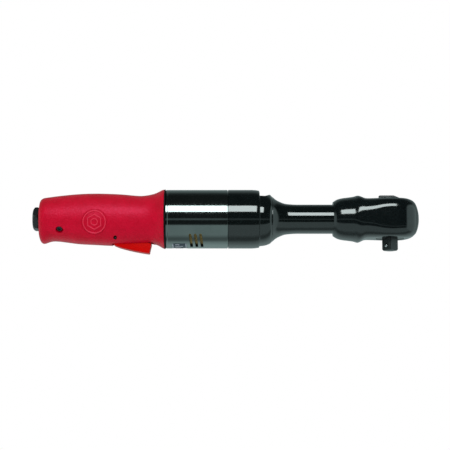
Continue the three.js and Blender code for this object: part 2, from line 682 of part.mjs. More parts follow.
function ratchetHousing() {
  const neck = turnedX([
    [-119, 0], [-119, HUB_R], [-117.5, HUB_R], [-117.5, HUB_R - 1], [-112.9, HUB_R - 1], [-112.9, HUB_R],
    [-95.1, HUB_R], ...NECK_FLARE, [-38, NECK_R], [-38, 0],
  ], 24);
  const bore = turnedX([
    [-120, 0], [-120, 13.6], [-110.5, 13.6], [-110.5, SHAFT_BORE_R], [-46.8, SHAFT_BORE_R],
    [-46.8, NEEDLE_R[1] + GAP], [-29, NEEDLE_R[1] + GAP], [-29, 0],
  ], MEDIUM);
  let housing = toSolid(neck).add(toSolid(loft(headRings(0))));
  for (const piece of [
    bore,
    block([-30, 20], [-20, 20], [-EAR_INNER_Z, EAR_INNER_Z]),
    rodZ([0, 15], UPPER_JOURNAL_R + GAP, 24),
    rodZ([-15, 0], LOWER_JOURNAL_R + GAP, 24),
    rodZ([-15, -12.8], 12.2, 24),
  ]) {
    housing = housing.subtract(toSolid(piece));
  }
  return housing;
}

function headBoot() {
  const outside = loft(BOOT_SECTIONS.map(([x, halfWidth, halfHeight, corner]) => {
    return roundedRing(x, halfWidth, halfHeight, corner);
  }));
  return cut(outside, loft(headRings(GAP)), rodZ([0, 20], 9.2, 24), rodZ([-20, 0], 11.2, 24));
}

function crankshaft() {
  const shaft = turnedX([
    [-119.3, 0], [-119.3, 6.7], [-109.5, 6.7], [-109.5, 5], [-47.5, 5], [-47.5, NEEDLE_R[0] - GAP],
    [CRANK_PIN_X[0], NEEDLE_R[0] - GAP], [CRANK_PIN_X[0], 0],
  ], MEDIUM);
  const hexEnd = rodX([-123.4, -119], 5, 6);
  const pin = rodX([CRANK_PIN_X[0] - 1, CRANK_PIN_X[1]], CRANK_PIN_R).translate(0, 0, CRANK_THROW);
  return toSolid(shaft).add(toSolid(hexEnd)).add(toSolid(pin));
}

function clampRing() {
  const gap = block([-120, -110], [-2, 2], [10, 25]);
  return cut(ringX(CLAMP_RING_X, HUB_R - 0.7, SPIGOT_R, FINE), gap);
}

function buildNeck() {
  add('clamp_nut', clampNut(), 'blackNut');
  add('clamp_ring', clampRing(), 'steel');
  add('ratchet_housing', ratchetHousing(), 'blackNut');
  add('head_boot', headBoot(), 'blackBoot');
  add('crankshaft', crankshaft(), 'steel');
  add('crank_bearing', ringX([-118.7, -110.8], 7, 13.3, MEDIUM), 'steel');
  add('needle_bearing', ringX(NEEDLE_X, ...NEEDLE_R, MEDIUM), 'steel');
  const bushingX = [CRANK_PIN_X[0] + GAP, CRANK_PIN_X[1] - GAP];
  const bushing = ringX(bushingX, CRANK_PIN_R + GAP, CRANK_BUSHING_R, MEDIUM);
  add('crank_pin_bushing', bushing, 'brass').position.z = CRANK_THROW;
}

// ---- ratchet head -----------------------------------------------------------------------------------

// Radius of the yoke's inner teeth at an angle: a zigzag between tip and root, tips at whole pitches.
function toothPoint(step, inset) {
  const angle = step * Math.PI / YOKE_TEETH;
  const radius = (step % 2 === 0 ? YOKE_TIP_R : YOKE_ROOT_R) - inset;
  return [radius * Math.cos(angle), radius * Math.sin(angle)];
}

function yoke() {
  const teeth = Array.from({ length: YOKE_TEETH * 2 }, (_, step) => toothPoint(step, 0));
  const fork = block([-28, 0], [-10.5, 10.5], [-YOKE_HALF_HEIGHT, YOKE_HALF_HEIGHT]);
  const span = [-YOKE_HALF_HEIGHT - 1, YOKE_HALF_HEIGHT + 1];
  return toSolid(rodZ([-YOKE_HALF_HEIGHT, YOKE_HALF_HEIGHT], YOKE_R, FINE))
    .add(toSolid(fork))
    .subtract(toSolid(block([-30, -17.2], [-7, 7], span)))
    .subtract(toSolid(prism(outline(teeth), span)));
}

// Half the pawl's plan outline, in its neutral position. Its teeth match the yoke once it has rocked to
// that side.
function pawlOutline(side) {
  const rock = -PAWL_ROCK * DEG;
  const teeth = [];
  for (let step = 12; step <= 18; step += 1) {
    const [x, y] = toothPoint(step, 1.6 * GAP);
    const reach = x - PAWL_PIVOT_X;
    const neutralX = PAWL_PIVOT_X + reach * Math.cos(rock) + y * Math.sin(rock);
    const neutralY = -reach * Math.sin(rock) + y * Math.cos(rock);
    teeth.push([neutralX, neutralY]);
  }
  const half = [[11.6, 1.6], [10.8, 4.6], ...teeth, [6.4, 9.2], [5, 7.4], [4.7, 5]];
  return half.map(([x, y]) => [x, side * y]);
}

function pawl() {
  const back = [30, 15, 0, -15, -30].map((degrees) => {
    return [5.8 * Math.cos(degrees * DEG), 5.8 * Math.sin(degrees * DEG)];
  });
  const plan = [...pawlOutline(1), ...back, ...pawlOutline(-1).reverse()];
  const hole = rodZ([-6, 6], PAWL_PIN_R + GAP).translate(PAWL_PIVOT_X, 0, 0);
  return cut(prism(outline(plan), [-PAWL_HALF_HEIGHT, PAWL_HALF_HEIGHT]), hole);
}

function driveSquare() {
  const half = DRIVE_SQUARE / 2;
  const straight = half - DRIVE_CORNER_R;
  const shape = new THREE.Shape();
  for (let k = 0; k < 4; k += 1) {
    const centre = new THREE.Vector2(straight, straight).rotateAround(new THREE.Vector2(), k * Math.PI / 2);
    shape.absarc(centre.x, centre.y, DRIVE_CORNER_R, k * Math.PI / 2, (k + 1) * Math.PI / 2, false);
  }
  return prism(shape, [-AXIS_Z, -15.2], null, 3);
}

// Turns a piece drawn along +X to face out of the square's ball side.
function towardBall(geometry) {
  return geometry.rotateZ((180 + DRIVE_TURN) * DEG);
}

function anvil() {
  const body = turnedZ([
    [0, -15.7], [LOWER_JOURNAL_R, -15.7], [LOWER_JOURNAL_R, -13.9], [9.7, -13.9], [9.7, -12.8],
    [LOWER_JOURNAL_R, -12.8], [LOWER_JOURNAL_R, -YOKE_HALF_HEIGHT], [DRUM_R, -YOKE_HALF_HEIGHT],
    [DRUM_R, YOKE_HALF_HEIGHT], [UPPER_JOURNAL_R, YOKE_HALF_HEIGHT], [UPPER_JOURNAL_R, 13],
    [KNOB_BORE_R, 13], [KNOB_BORE_R, -5], [0, -5],
  ], 24);
  const square = driveSquare().rotateZ(DRIVE_TURN * DEG);
  const tip = turnedZ([[0, -AXIS_Z], [6, -AXIS_Z], [6.5, -AXIS_Z + 1], [6.5, -14], [0, -14]], 24);
  const drive = toSolid(square).intersect(toSolid(tip));
  return toSolid(body).add(drive)
    .subtract(toSolid(block([2, 14], [-9.9, 9.9], [-PAWL_HALF_HEIGHT - GAP, PAWL_HALF_HEIGHT + GAP])))
    .subtract(toSolid(rodZ([-5.3, 14], PAWL_PIN_R + GAP).translate(PAWL_PIVOT_X, 0, 0)))
    .subtract(toSolid(towardBall(rodX([-2.6, 8], SOCKET_BALL_R + GAP)).translate(0, 0, SOCKET_BALL_Z)));
}

function reverseKnob() {
  const shankR = KNOB_BORE_R - GAP;
  const body = turnedZ([
    [0, -4.6], [shankR, -4.6], [shankR, 13.3], [KNOB_R, 13.3], [KNOB_R, 16.6], [KNOB_R - 0.3, 16.9],
    [0, 16.9],
  ], 24);
  const bar = outline([[-9, 16], [9, 16], [9, 16.9], [3.2, KNOB_TOP_Z], [-9, KNOB_TOP_Z]]);
  const round = toSolid(rodZ([15, 20], KNOB_R - 0.1, 24));
  const grip = toSolid(prism(bar, [-2.8, 2.8], ALONG_Y)).intersect(round);
  return toSolid(body).add(grip).subtract(toSolid(rodX([-3.2, 6], 1.6)));
}

function buildHead() {
  add('yoke', yoke(), 'steel');
  add('anvil', anvil(), 'blackOxide');
  add('pawl', pawl(), 'steel');
  add('pawl_pin', rodZ([-5, 5.3], PAWL_PIN_R).translate(PAWL_PIVOT_X, 0, 0), 'steel');
  add('reverse_knob', reverseKnob(), 'blackOxide');
  add('pawl_spring', coilSpring([-2.9, 0.1], 1, 1, 0.2, 4), 'steel');
  const plunger = [[1.2, 0], [1.2, 1.3], [4.7, 1.3], [5.2, 0.9], [5.4, 0.4], [5.4, 0]];
  add('pawl_plunger', turnedX(plunger, COARSE), 'steel');

  const ring = turnedZ([[10, -13.6], [11.8, -13.6], [11.8, -13.1], [10, -13.1]], 28);
  add('anvil_retaining_ring', cut(ring, block([-14, -8], [-2, 2], [-15, -12])), 'steel');
  const upperWasher = turnedZ([[10.2, 5.9], [16, 5.9], [16, 6.7], [10.2, 6.7]]);
  const lowerWasher = turnedZ([[11.1, -6.7], [16, -6.7], [16, -5.9], [11.1, -5.9]]);
  add('upper_thrust_washer', upperWasher, 'steel');
  add('lower_thrust_washer', lowerWasher, 'steel');

  const ball = new THREE.SphereGeometry(SOCKET_BALL_R, 12, 8).translate(DRIVE_SQUARE / 2 - 0.9, 0, 0);
  add('socket_ball', towardBall(ball).translate(0, 0, SOCKET_BALL_Z), 'steel');
  const spring = coilSpring([-2.2, 1.2], 1.2, 1.2, 0.2, 4);
  add('socket_ball_spring', towardBall(spring).translate(0, 0, SOCKET_BALL_Z), 'steel');
}

buildHandle();
buildMotor();
buildGears();
buildNeck();
buildHead();

export default group;
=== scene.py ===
"""Looks of the air ratchet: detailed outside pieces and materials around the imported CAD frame.

Outlines are in millimetres about the tool's long axis, +X towards the head and +Z up, as in the CAD
source. Pieces are built in those units, then scaled to metres and lifted to the axis of the frame.
"""
import json
import math

import bmesh
import bpy
from mathutils import Matrix, Vector


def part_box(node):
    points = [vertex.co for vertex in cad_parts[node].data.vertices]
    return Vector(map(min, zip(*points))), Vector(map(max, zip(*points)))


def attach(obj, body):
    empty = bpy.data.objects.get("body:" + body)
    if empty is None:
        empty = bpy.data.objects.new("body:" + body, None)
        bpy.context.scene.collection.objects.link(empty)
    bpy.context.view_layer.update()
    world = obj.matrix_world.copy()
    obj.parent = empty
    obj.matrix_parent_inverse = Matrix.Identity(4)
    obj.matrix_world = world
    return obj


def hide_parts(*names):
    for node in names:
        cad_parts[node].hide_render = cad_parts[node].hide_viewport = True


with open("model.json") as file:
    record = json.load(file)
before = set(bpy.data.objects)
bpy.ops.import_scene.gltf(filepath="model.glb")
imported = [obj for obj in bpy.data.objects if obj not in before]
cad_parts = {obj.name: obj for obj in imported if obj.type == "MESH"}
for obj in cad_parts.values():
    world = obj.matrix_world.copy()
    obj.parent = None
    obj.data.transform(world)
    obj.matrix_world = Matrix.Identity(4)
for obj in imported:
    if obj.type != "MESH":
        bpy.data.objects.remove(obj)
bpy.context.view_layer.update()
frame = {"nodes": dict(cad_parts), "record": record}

# ---- sizes -------------------------------------------------------------------

MM = 0.001
DEG = math.pi / 180


def box_mm(node):
    low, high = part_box(node)
    return low / MM, high / MM


MOTOR_LOW, MOTOR_HIGH = box_mm("motor_housing")
AXIS_Z = (MOTOR_LOW.z + MOTOR_HIGH.z) / 2
MOTOR_R = (MOTOR_HIGH.z - MOTOR_LOW.z) / 2
TO_FRAME = Matrix.Translation((0, 0, AXIS_Z * MM)) @ Matrix.Scale(MM, 4)

FINE_ROUND = 192  # facets round the motor case and the nut
ROUND = 128  # facets round the other large turned pieces
SMALL_ROUND = 48
MOUTH_CHAMFER = 0.6  # at the mouth of a bore
OVERCUT = 1  # how far a cutting tool stands out of the face that it cuts
MOUTH_FLARE = MOUTH_CHAMFER + OVERCUT

CORE_R = 13.8
GRIP_X = (-283.3, -182.4)
GRIP_REAR_WALL = 2.8
GRIP_REAR_HOLE_R = 8.6
EMBLEM_X = -237.8
EMBLEM_R = 8.9
EMBLEM_TILT = 8  # degrees below the horizontal that the emblem faces
EMBLEM_DROP = 2.15
EMBLEM_HEX = 5.2
EMBLEM_DOT_R = 2.6
EMBLEM_HIGHLIGHT_REACH = 0.6  # how far to each side of a line the painted highlight reaches
EMBLEM_MARGIN = 1.8
RING_LIFT = 0.5
GROOVE_DEPTH = 0.28
GROOVE_OFFSET = 0.95  # from the middle of the ring to the middle of the groove outside it
FIELD_DEPTH = 0.14
LINE_LIFT = 0.48
TRIGGER_PIN = (-221.4, -16.4)
TRIGGER_PIN_HOLE_R = 1.5
TRIGGER_HALF_WIDTH = 5.6
TRIGGER_HUB_R = 2.6
TRIGGER_SLOT_X = (-224.3, -191)
TRIGGER_SLOT_Z = (-30, -11.5)
TRIGGER_SLOT_HALF_WIDTH = 6
TRIGGER_SLOT_CORNER_R = 1.4
SCREW_X = -266
SCREW_TURN = 126
SCREW_HOLE_R = 3
SCREW_HOLE_FLOOR = 14.9
SCREW_HOLE_POINT = 3.7
SCREW_CLEARANCE_R = 1.5
SCREW_TIP, SCREW_SEAT, SCREW_TOP = 9.9, 15.2, 16.3
SCREW_SHANK_R = 1.2
SCREW_HEAD_R = 2.25
SCREW_SOCKET_R = 1.25
SCREW_SOCKET_FLOOR = 15.4

HEX_ACROSS_FLATS = 17.5
HEX_X = (-288.6, -283.6)
HEX_FACE_R = 7.5
HEX_TURN = 6.4
INLET_BORE_R = 5.7
INLET_BORE_END_X = -269
INLET_SHANK_R = 8.2
INLET_SHANK_END_X = -270
THREAD_PITCH = 1.34
THREAD_DEPTH = 0.34

GASKET_X = (-182.1, -181.5)
GASKET_R = 24.1
MOTOR_X = (-181.2, -131.3)
MOTOR_BORE_R = 20.1
MOTOR_WALL_X = (-178.2, -176.3)
MOTOR_WALL_HOLE_R = 7
SPIGOT_R = 21.6
SPIGOT_END_X = -117.5
MUFFLER_R = (20.4, 21.7)
MUFFLER_X = (-163.7, -148.3)
MUFFLER_RECESS_R = 22
MUFFLER_GAP = 0.3
EXHAUST_SLOTS = 3
EXHAUST_PITCH = 4.2
EXHAUST_WIDTH = 2.2
EXHAUST_SLANT = -8
EXHAUST_FIRST_X = -163.4
EXHAUST_Y = (4.8, 18.9)
EXHAUST_Z = (-27, -13.4)
PLATE_X = (-175.8, -164.2)
PLATE_R = (23.3, 23.65)
PLATE_HALF_ANGLE = 26.4
PLATE_GAP = 0.3
PLATE_GAP_ANGLE = 0.6
PLATE_RELIEF = 0.14

NUT_X = (-131, -95.4)
NUT_BORE_R = 16.5
NUT_SKIRT_R = 21.9
NUT_SHOULDER_X = -112.9
NUT_NOTCH_TURNS = (0, -120)
HUB_X = (-119, -95.1)
HUB_R = 16.2
HUB_GROOVE_DEPTH = 1
NECK_R = 11.8
NECK_END_X = -38
CRANK_BEARING_R = 13.6
CRANK_BEARING_X = -110.5
SHAFT_BORE_R = 7.6
NEEDLE_BEARING_R = 9.2
NEEDLE_BEARING_X = (-46.8, -29)

EAR_INNER_Z = 7
EAR_OUTER_Z = 14
HEAD_R = 17
UPPER_BORE_R = 10.1
LOWER_BORE_R = 11
RETAINER_R = 12.2
RETAINER_Z = -12.8
BOOT_TOP_HOLE_R = 9.2
BOOT_BOTTOM_HOLE_R = 11.2
BOOT_HALF_HEIGHT = 16
BOOT_HALF_WIDTH = 19.3

DRUM_R = 12.2
DRUM_HALF_HEIGHT = 5.6
UPPER_JOURNAL_R = 9.8
LOWER_JOURNAL_R = 10.7
DRIVE_SQUARE = 9.525
DRIVE_CORNER_R = 1.17
DRIVE_TURN = 40
PAWL_POCKET_X = (2, 14)
PAWL_POCKET_HALF_WIDTH = 9.9
PAWL_POCKET_HALF_HEIGHT = 4.4
PAWL_PIN_X = 8
PAWL_PIN_R = 1.4
BALL_Z = -21.9
BALL_R = 1.5
BALL_WELL_R = BALL_R + 0.3
KNOB_R = 8.8
KNOB_LOW_Z, KNOB_DISC_Z, KNOB_BAR_Z, KNOB_TOP_Z = -4.6, 13.3, 16.9, 19.2
KNOB_SHANK_R = 4.7
KNOB_BAR_HALF_WIDTH = 2.8
KNOB_FLUTES = 24
KNOB_FLUTE_R = 0.45

# Hand grip: height above the axis, depth below it and half-width, each as (x, value).
GRIP_TOP = [
    (-283.3, 12.6), (-282.9, 14.4), (-282, 15.8), (-280.4, 16.9), (-278, 17.4), (-267, 18.9),
    (-251, 20.4), (-236, 20.8), (-218.5, 20.2), (-202.5, 18.9), (-197.4, 19.2), (-191, 20.5),
    (-187.7, 21.8), (-184.4, 23.5), (-182.4, 24.1),
]
GRIP_BOTTOM = [
    (-283.3, 15.2), (-282.7, 17.2), (-281.7, 19), (-280.2, 20), (-278.4, 19.9), (-276.8, 19.3),
    (-275, 18.7), (-272, 18.1), (-267, 18.3), (-260, 19.2), (-251, 20.3), (-238, 21),
    (-223.3, 21.7), (-207, 21.4), (-195, 20.8), (-191, 20.7), (-189, 20.8), (-187.5, 21.4),
    (-185.8, 22.3), (-184.2, 23.3), (-182.4, 24.1),
]
GRIP_SIDE = [
    (-283.3, 12), (-282.7, 14), (-281.5, 15.6), (-279, 16.9), (-270, 17.8), (-240, 18.9),
    (-215, 18.6), (-202, 18.3), (-194, 19.1), (-188, 21.2), (-184.4, 23.4), (-182.4, 24.1),
]

# Lever trigger: its outer edge, the rounded end of the lever and the inner corner behind that end.
TRIGGER_EDGE = [(-222.9, -21.4), (-218.5, -23.2), (-210.4, -25.4), (-202.3, -27.1), (-196.4, -28.1)]
TRIGGER_END = [(-196.4, -28.1), (-194.1, -28.4, 1.6), (-193.9, -26.4)]
TRIGGER_INNER_CORNER = (-192.5, -20.3)

# Head boot: x, half-width, half-height and corner radius of each rounded section.
BOOT_SECTIONS = [
    (-46, 13.9, 13.9, 13.9), (-45.1, 14.5, 14.5, 14.5), (-43.5, 15.5, 15.5, 15.5),
    (-41.5, 16.3, 16.3, 16.3), (-38.5, 17, 17, 17), (-33.8, 17.6, 17.6, 17.6),
    (-29.5, 18.3, 18.2, 18), (-26.2, 19, 18.9, 17.3), (-24.2, 19.2, 18.2, 15.6),
    (-22.4, 19.3, 17.2, 14.1), (-20.8, 19.3, 16.4, 13.1),
    *[
        (x, BOOT_HALF_WIDTH, BOOT_HALF_HEIGHT, corner)
        for x, corner in ((-18.5, 12.3), (-13, 11.4), (-8, 10), (-2, 9), (4, 9))
    ],
    (8, 18.9, BOOT_HALF_HEIGHT, 9.3), (11.2, 17.9, 15.9, 9.3), (14.2, 16.3, 15.5, 9.1),
    (17, 14.3, 14.7, 8.6), (19, 12.3, 13.6, 8), (20.7, 9.8, 11.8, 7), (22.2, 6.8, 8.4, 5.5),
    (23.1, 4.2, 4.8, 4), (23.4, 2, 2, 2),
]

# Clamp nut, as (x, radius): its skirt, the fall towards its edge, that edge and the dome; then the side
# view of a notch with its corner radii, and the flare of the neck where it leaves the nut.
NUT_SKIRT = [(-131, 23.3), (-130.6, 23.75), (-112, 23.75)]
NUT_FALL = [(-112, 23.75), (-108.5, 23.55), (-106, 23.1)]
NUT_EDGE = [(-106, 23.1), (-105.75, 22.7), (-105.55, 22.15), (-105.3, 21.9)]
NUT_DOME = [
    (-105.3, 21.9), (-101.8, 21.5), (-99.5, 20.9), (-98, 20.3), (-97, 19.8), (-96, 18.9), (-95.4, 18.2),
]
NUT_NOTCH = [
    (-105.5, 17.2, 0.5), (-101, 17.2, 1), (-98.6, 18.4, 1), (-97.2, 19.4), (-96.8, 26), (-105.5, 26),
]
NUT_NOTCH_REACH = 15
NECK_FLARE = [
    (-95.1, 18.2), (-93.7, 16.9), (-92, 15.6), (-88.9, 14), (-85, 12.6), (-79, 11.95), (-75, NECK_R),
]


# ---- mesh tools --------------------------------------------------------------

def through(points):
    """A smooth curve through (x, value) points, as a function of x."""
    def slope(i):
        before, after = points[max(i - 1, 0)], points[min(i + 1, len(points) - 1)]
        return (after[1] - before[1]) / (after[0] - before[0])

    def value(x):
        i = 0
        while i < len(points) - 2 and x > points[i + 1][0]:
            i += 1
        (x0, v0), (x1, v1) = points[i], points[i + 1]
        span = x1 - x0
        t = min(max((x - x0) / span, 0), 1)
        ease = t * t * (3 - 2 * t)
        return v0 + (v1 - v0) * ease + span * t * (1 - t) * (slope(i) * (1 - t) - slope(i + 1) * t)

    return value


def spread(start, end, step):
    """Evenly spaced values from start to end, no further apart than step."""
    count = max(1, math.ceil(abs(end - start) / step))
    return [start + (end - start) * k / count for k in range(count + 1)]


def smoothstep(low, high, value):
    t = min(max((value - low) / (high - low), 0), 1)
    return t * t * (3 - 2 * t)


def rounded(points, steps=4, closed=True):
    """Rounds the corners of a line of (u, v, radius) points; a point without a radius stays sharp."""
    result = []
    count = len(points)
    for i, point in enumerate(points):
        corner = Vector(point[:2])
        radius = point[2] if len(point) > 2 else 0
        if radius == 0 or (not closed and i in (0, count - 1)):
            result.append(tuple(corner))
            continue
        back = Vector(points[i - 1][:2]) - corner
        ahead = Vector(points[(i + 1) % count][:2]) - corner
        half_angle = back.angle(ahead) / 2
        reach = min(radius / math.tan(half_angle), back.length * 0.49, ahead.length * 0.49)
        first, last = corner + back.normalized() * reach, corner + ahead.normalized() * reach
        for k in range(steps + 1):
            t = k / steps
            spot = first * (1 - t) ** 2 + corner * 2 * t * (1 - t) + last * t * t
            result.append(tuple(spot))
    return result


def build(verts, faces):
    """A mesh object from corner points and faces in tool millimetres, its normals facing outwards."""
    data = bpy.data.meshes.new("solid")
    data.from_pydata([tuple(v) for v in verts], [], faces)
    shell = bmesh.new()
    shell.from_mesh(data)
    bmesh.ops.remove_doubles(shell, verts=shell.verts, dist=1e-5)
    bmesh.ops.recalc_face_normals(shell, faces=shell.faces)
    shell.to_mesh(data)
    shell.free()
    obj = bpy.data.objects.new("solid", data)
    bpy.context.scene.collection.objects.link(obj)
    return obj


def moved(obj, matrix):
    obj.data.transform(matrix)
    return obj


def skin(rings, closed=False):
    """Joins equal rings of points into a solid; the ends are capped unless the rings close up."""
    count = len(rings[0])
    verts = [v for ring in rings for v in ring]
    faces = []
    bands = len(rings) if closed else len(rings) - 1
    for i in range(bands):
        here, there = i * count, (i + 1) % len(rings) * count
        for j in range(count):
            k = (j + 1) % count
            faces.append((here + j, here + k, there + k, there + j))
    if not closed:
        for start in (0, (len(rings) - 1) * count):
            ring = verts[start:start + count]
            centre = sum((Vector(v) for v in ring), Vector()) / count
            verts.append(centre)
            hub = len(verts) - 1
            faces += [(start + j, start + (j + 1) % count, hub) for j in range(count)]
    return build(verts, faces)


def lathe(profile, segments=ROUND):
    """Turned about the X axis from a closed line of (x, radius) points."""
    on_axis = [i for i, (_, radius) in enumerate(profile) if radius < 1e-6]
    verts, rows, faces = [], [], []
    for i, (x, radius) in enumerate(profile):
        start = len(verts)
        turns = 1 if i in on_axis else segments
        for k in range(turns):
            angle = 2 * math.pi * k / segments
            verts.append((x, radius * math.cos(angle), radius * math.sin(angle)))
        rows.append((start, turns))
    pairs = list(zip(rows, rows[1:])) + ([] if on_axis else [(rows[-1], rows[0])])
    for (a, turns_a), (b, turns_b) in pairs:
        if turns_a == turns_b == 1:
            continue
        for k in range(segments):
            after = (k + 1) % segments
            if turns_a == 1:
                faces.append((a, b + k, b + after))
            elif turns_b == 1:
                faces.append((a + k, a + after, b))
            else:
                faces.append((a + k, a + after, b + after, b + k))
    return build(verts, faces)


UPRIGHT = Matrix.Rotation(-math.pi / 2, 4, "Y")  # turns +X to +Z


def lathe_z(profile, segments=ROUND):
    """Turned about the Z axis from a closed line of (radius, z) points."""
    return moved(lathe([(z, radius) for radius, z in profile], segments), UPRIGHT)


def rod(x0, x1, radius, segments=SMALL_ROUND):
    return lathe([(x0, 0), (x0, radius), (x1, radius), (x1, 0)], segments)


def rod_z(z0, z1, radius, segments=SMALL_ROUND):
    return moved(rod(z0, z1, radius, segments), UPRIGHT)


def prism(points, low, high, along):
    """A flat outline in the plane across one axis, extruded along that axis."""
    place = {
        "X": lambda u, v, w: (w, u, v),
        "Y": lambda u, v, w: (u, w, v),
        "Z": lambda u, v, w: (u, v, w),
    }[along]
    count = len(points)
    verts = [place(u, v, low) for u, v in points] + [place(u, v, high) for u, v in points]
    faces = [tuple(range(count)), tuple(range(count, 2 * count))]
    faces += [(k, (k + 1) % count, count + (k + 1) % count, count + k) for k in range(count)]
    return build(verts, faces)


def arc(radius, start, end, steps, centre=(0, 0)):
    """Points on an arc between two angles in degrees."""
    return [
        (
            centre[0] + radius * math.cos((start + (end - start) * k / steps) * DEG),
            centre[1] + radius * math.sin((start + (end - start) * k / steps) * DEG),
        )
        for k in range(steps + 1)
    ]


def rectangle(x, half_width, *corner):
    """A rectangle's points, over a range of x and to both sides of Y = 0."""
    x0, x1 = x
    spots = ((x0, -half_width), (x1, -half_width), (x1, half_width), (x0, half_width))
    return [(*spot, *corner) for spot in spots]


def stadium(half_length, half_width, steps=8):
    """A slot outline with round ends, long in v."""
    reach = half_length - half_width
    return arc(half_width, 0, 180, steps, (0, reach)) + arc(half_width, 180, 360, steps, (0, -reach))


def settle(obj):
    """Applies an object's modifiers to its mesh."""
    bpy.context.view_layer.update()
    graph = bpy.context.evaluated_depsgraph_get()
    mesh = bpy.data.meshes.new_from_object(obj.evaluated_get(graph))
    obj.modifiers.clear()
    obj.data = mesh
    return obj


def combine(obj, others, operation="DIFFERENCE"):
    for other in others:
        step = obj.modifiers.new("combine", "BOOLEAN")
        step.operation = operation
        step.solver = "EXACT"
        step.object = other
    settle(obj)
    for other in others:
        bpy.data.objects.remove(other)
    return obj


def carve(obj, *tools):
    return combine(obj, tools)


def join(obj, *others):
    return combine(obj, others, "UNION")


def soften(obj, width, segments=2, angle=35):
    """Rounds the sharp edges of a solid."""
    bevel = obj.modifiers.new("soften", "BEVEL")
    bevel.width = width
    bevel.segments = segments
    bevel.limit_method = "ANGLE"
    bevel.angle_limit = angle * DEG
    bevel.use_clamp_overlap = True
    return settle(obj)


def piece(obj, name, body, node, sharp=32):
    """Finishes a piece: frame scale, shading, material and body; and hides the CAD node that it stands for.
    """
    obj.name = name
    obj.data.name = name
    obj.data.transform(TO_FRAME)
    obj.data.shade_smooth()
    obj.data.set_sharp_from_angle(angle=sharp * DEG)
    slot = SLOT_OF[node]
    obj.data.materials.clear()
    obj.data.materials.append(MATERIALS[slot])
    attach(obj, body)
    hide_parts(node)


# ---- materials ---------------------------------------------------------------

MIX_A, MIX_B, MIX_RESULT = 6, 7, 2  # the colour sockets of a mix node


def add_node(tree, kind, inputs=None, **settings):
    """A new shader node with its settings, and with numbers, colours or links for its inputs."""
    node = tree.nodes.new("ShaderNode" + kind)
    for key, value in settings.items():
        setattr(node, key, value)
    for key, value in (inputs or {}).items():
        if isinstance(value, bpy.types.NodeSocket):
            tree.links.new(value, node.inputs[key])
        else:
            node.inputs[key].default_value = value
    return node


def fill_ramp(node, stops):
    """Gives a colour ramp its (place, colour) stops."""
    elements = node.color_ramp.elements
    for element, (place, colour) in zip(elements, (stops[0], stops[-1])):
        element.position = place
        element.color = (*colour, 1)
    for place, colour in stops[1:-1]:
        elements.new(place).color = (*colour, 1)


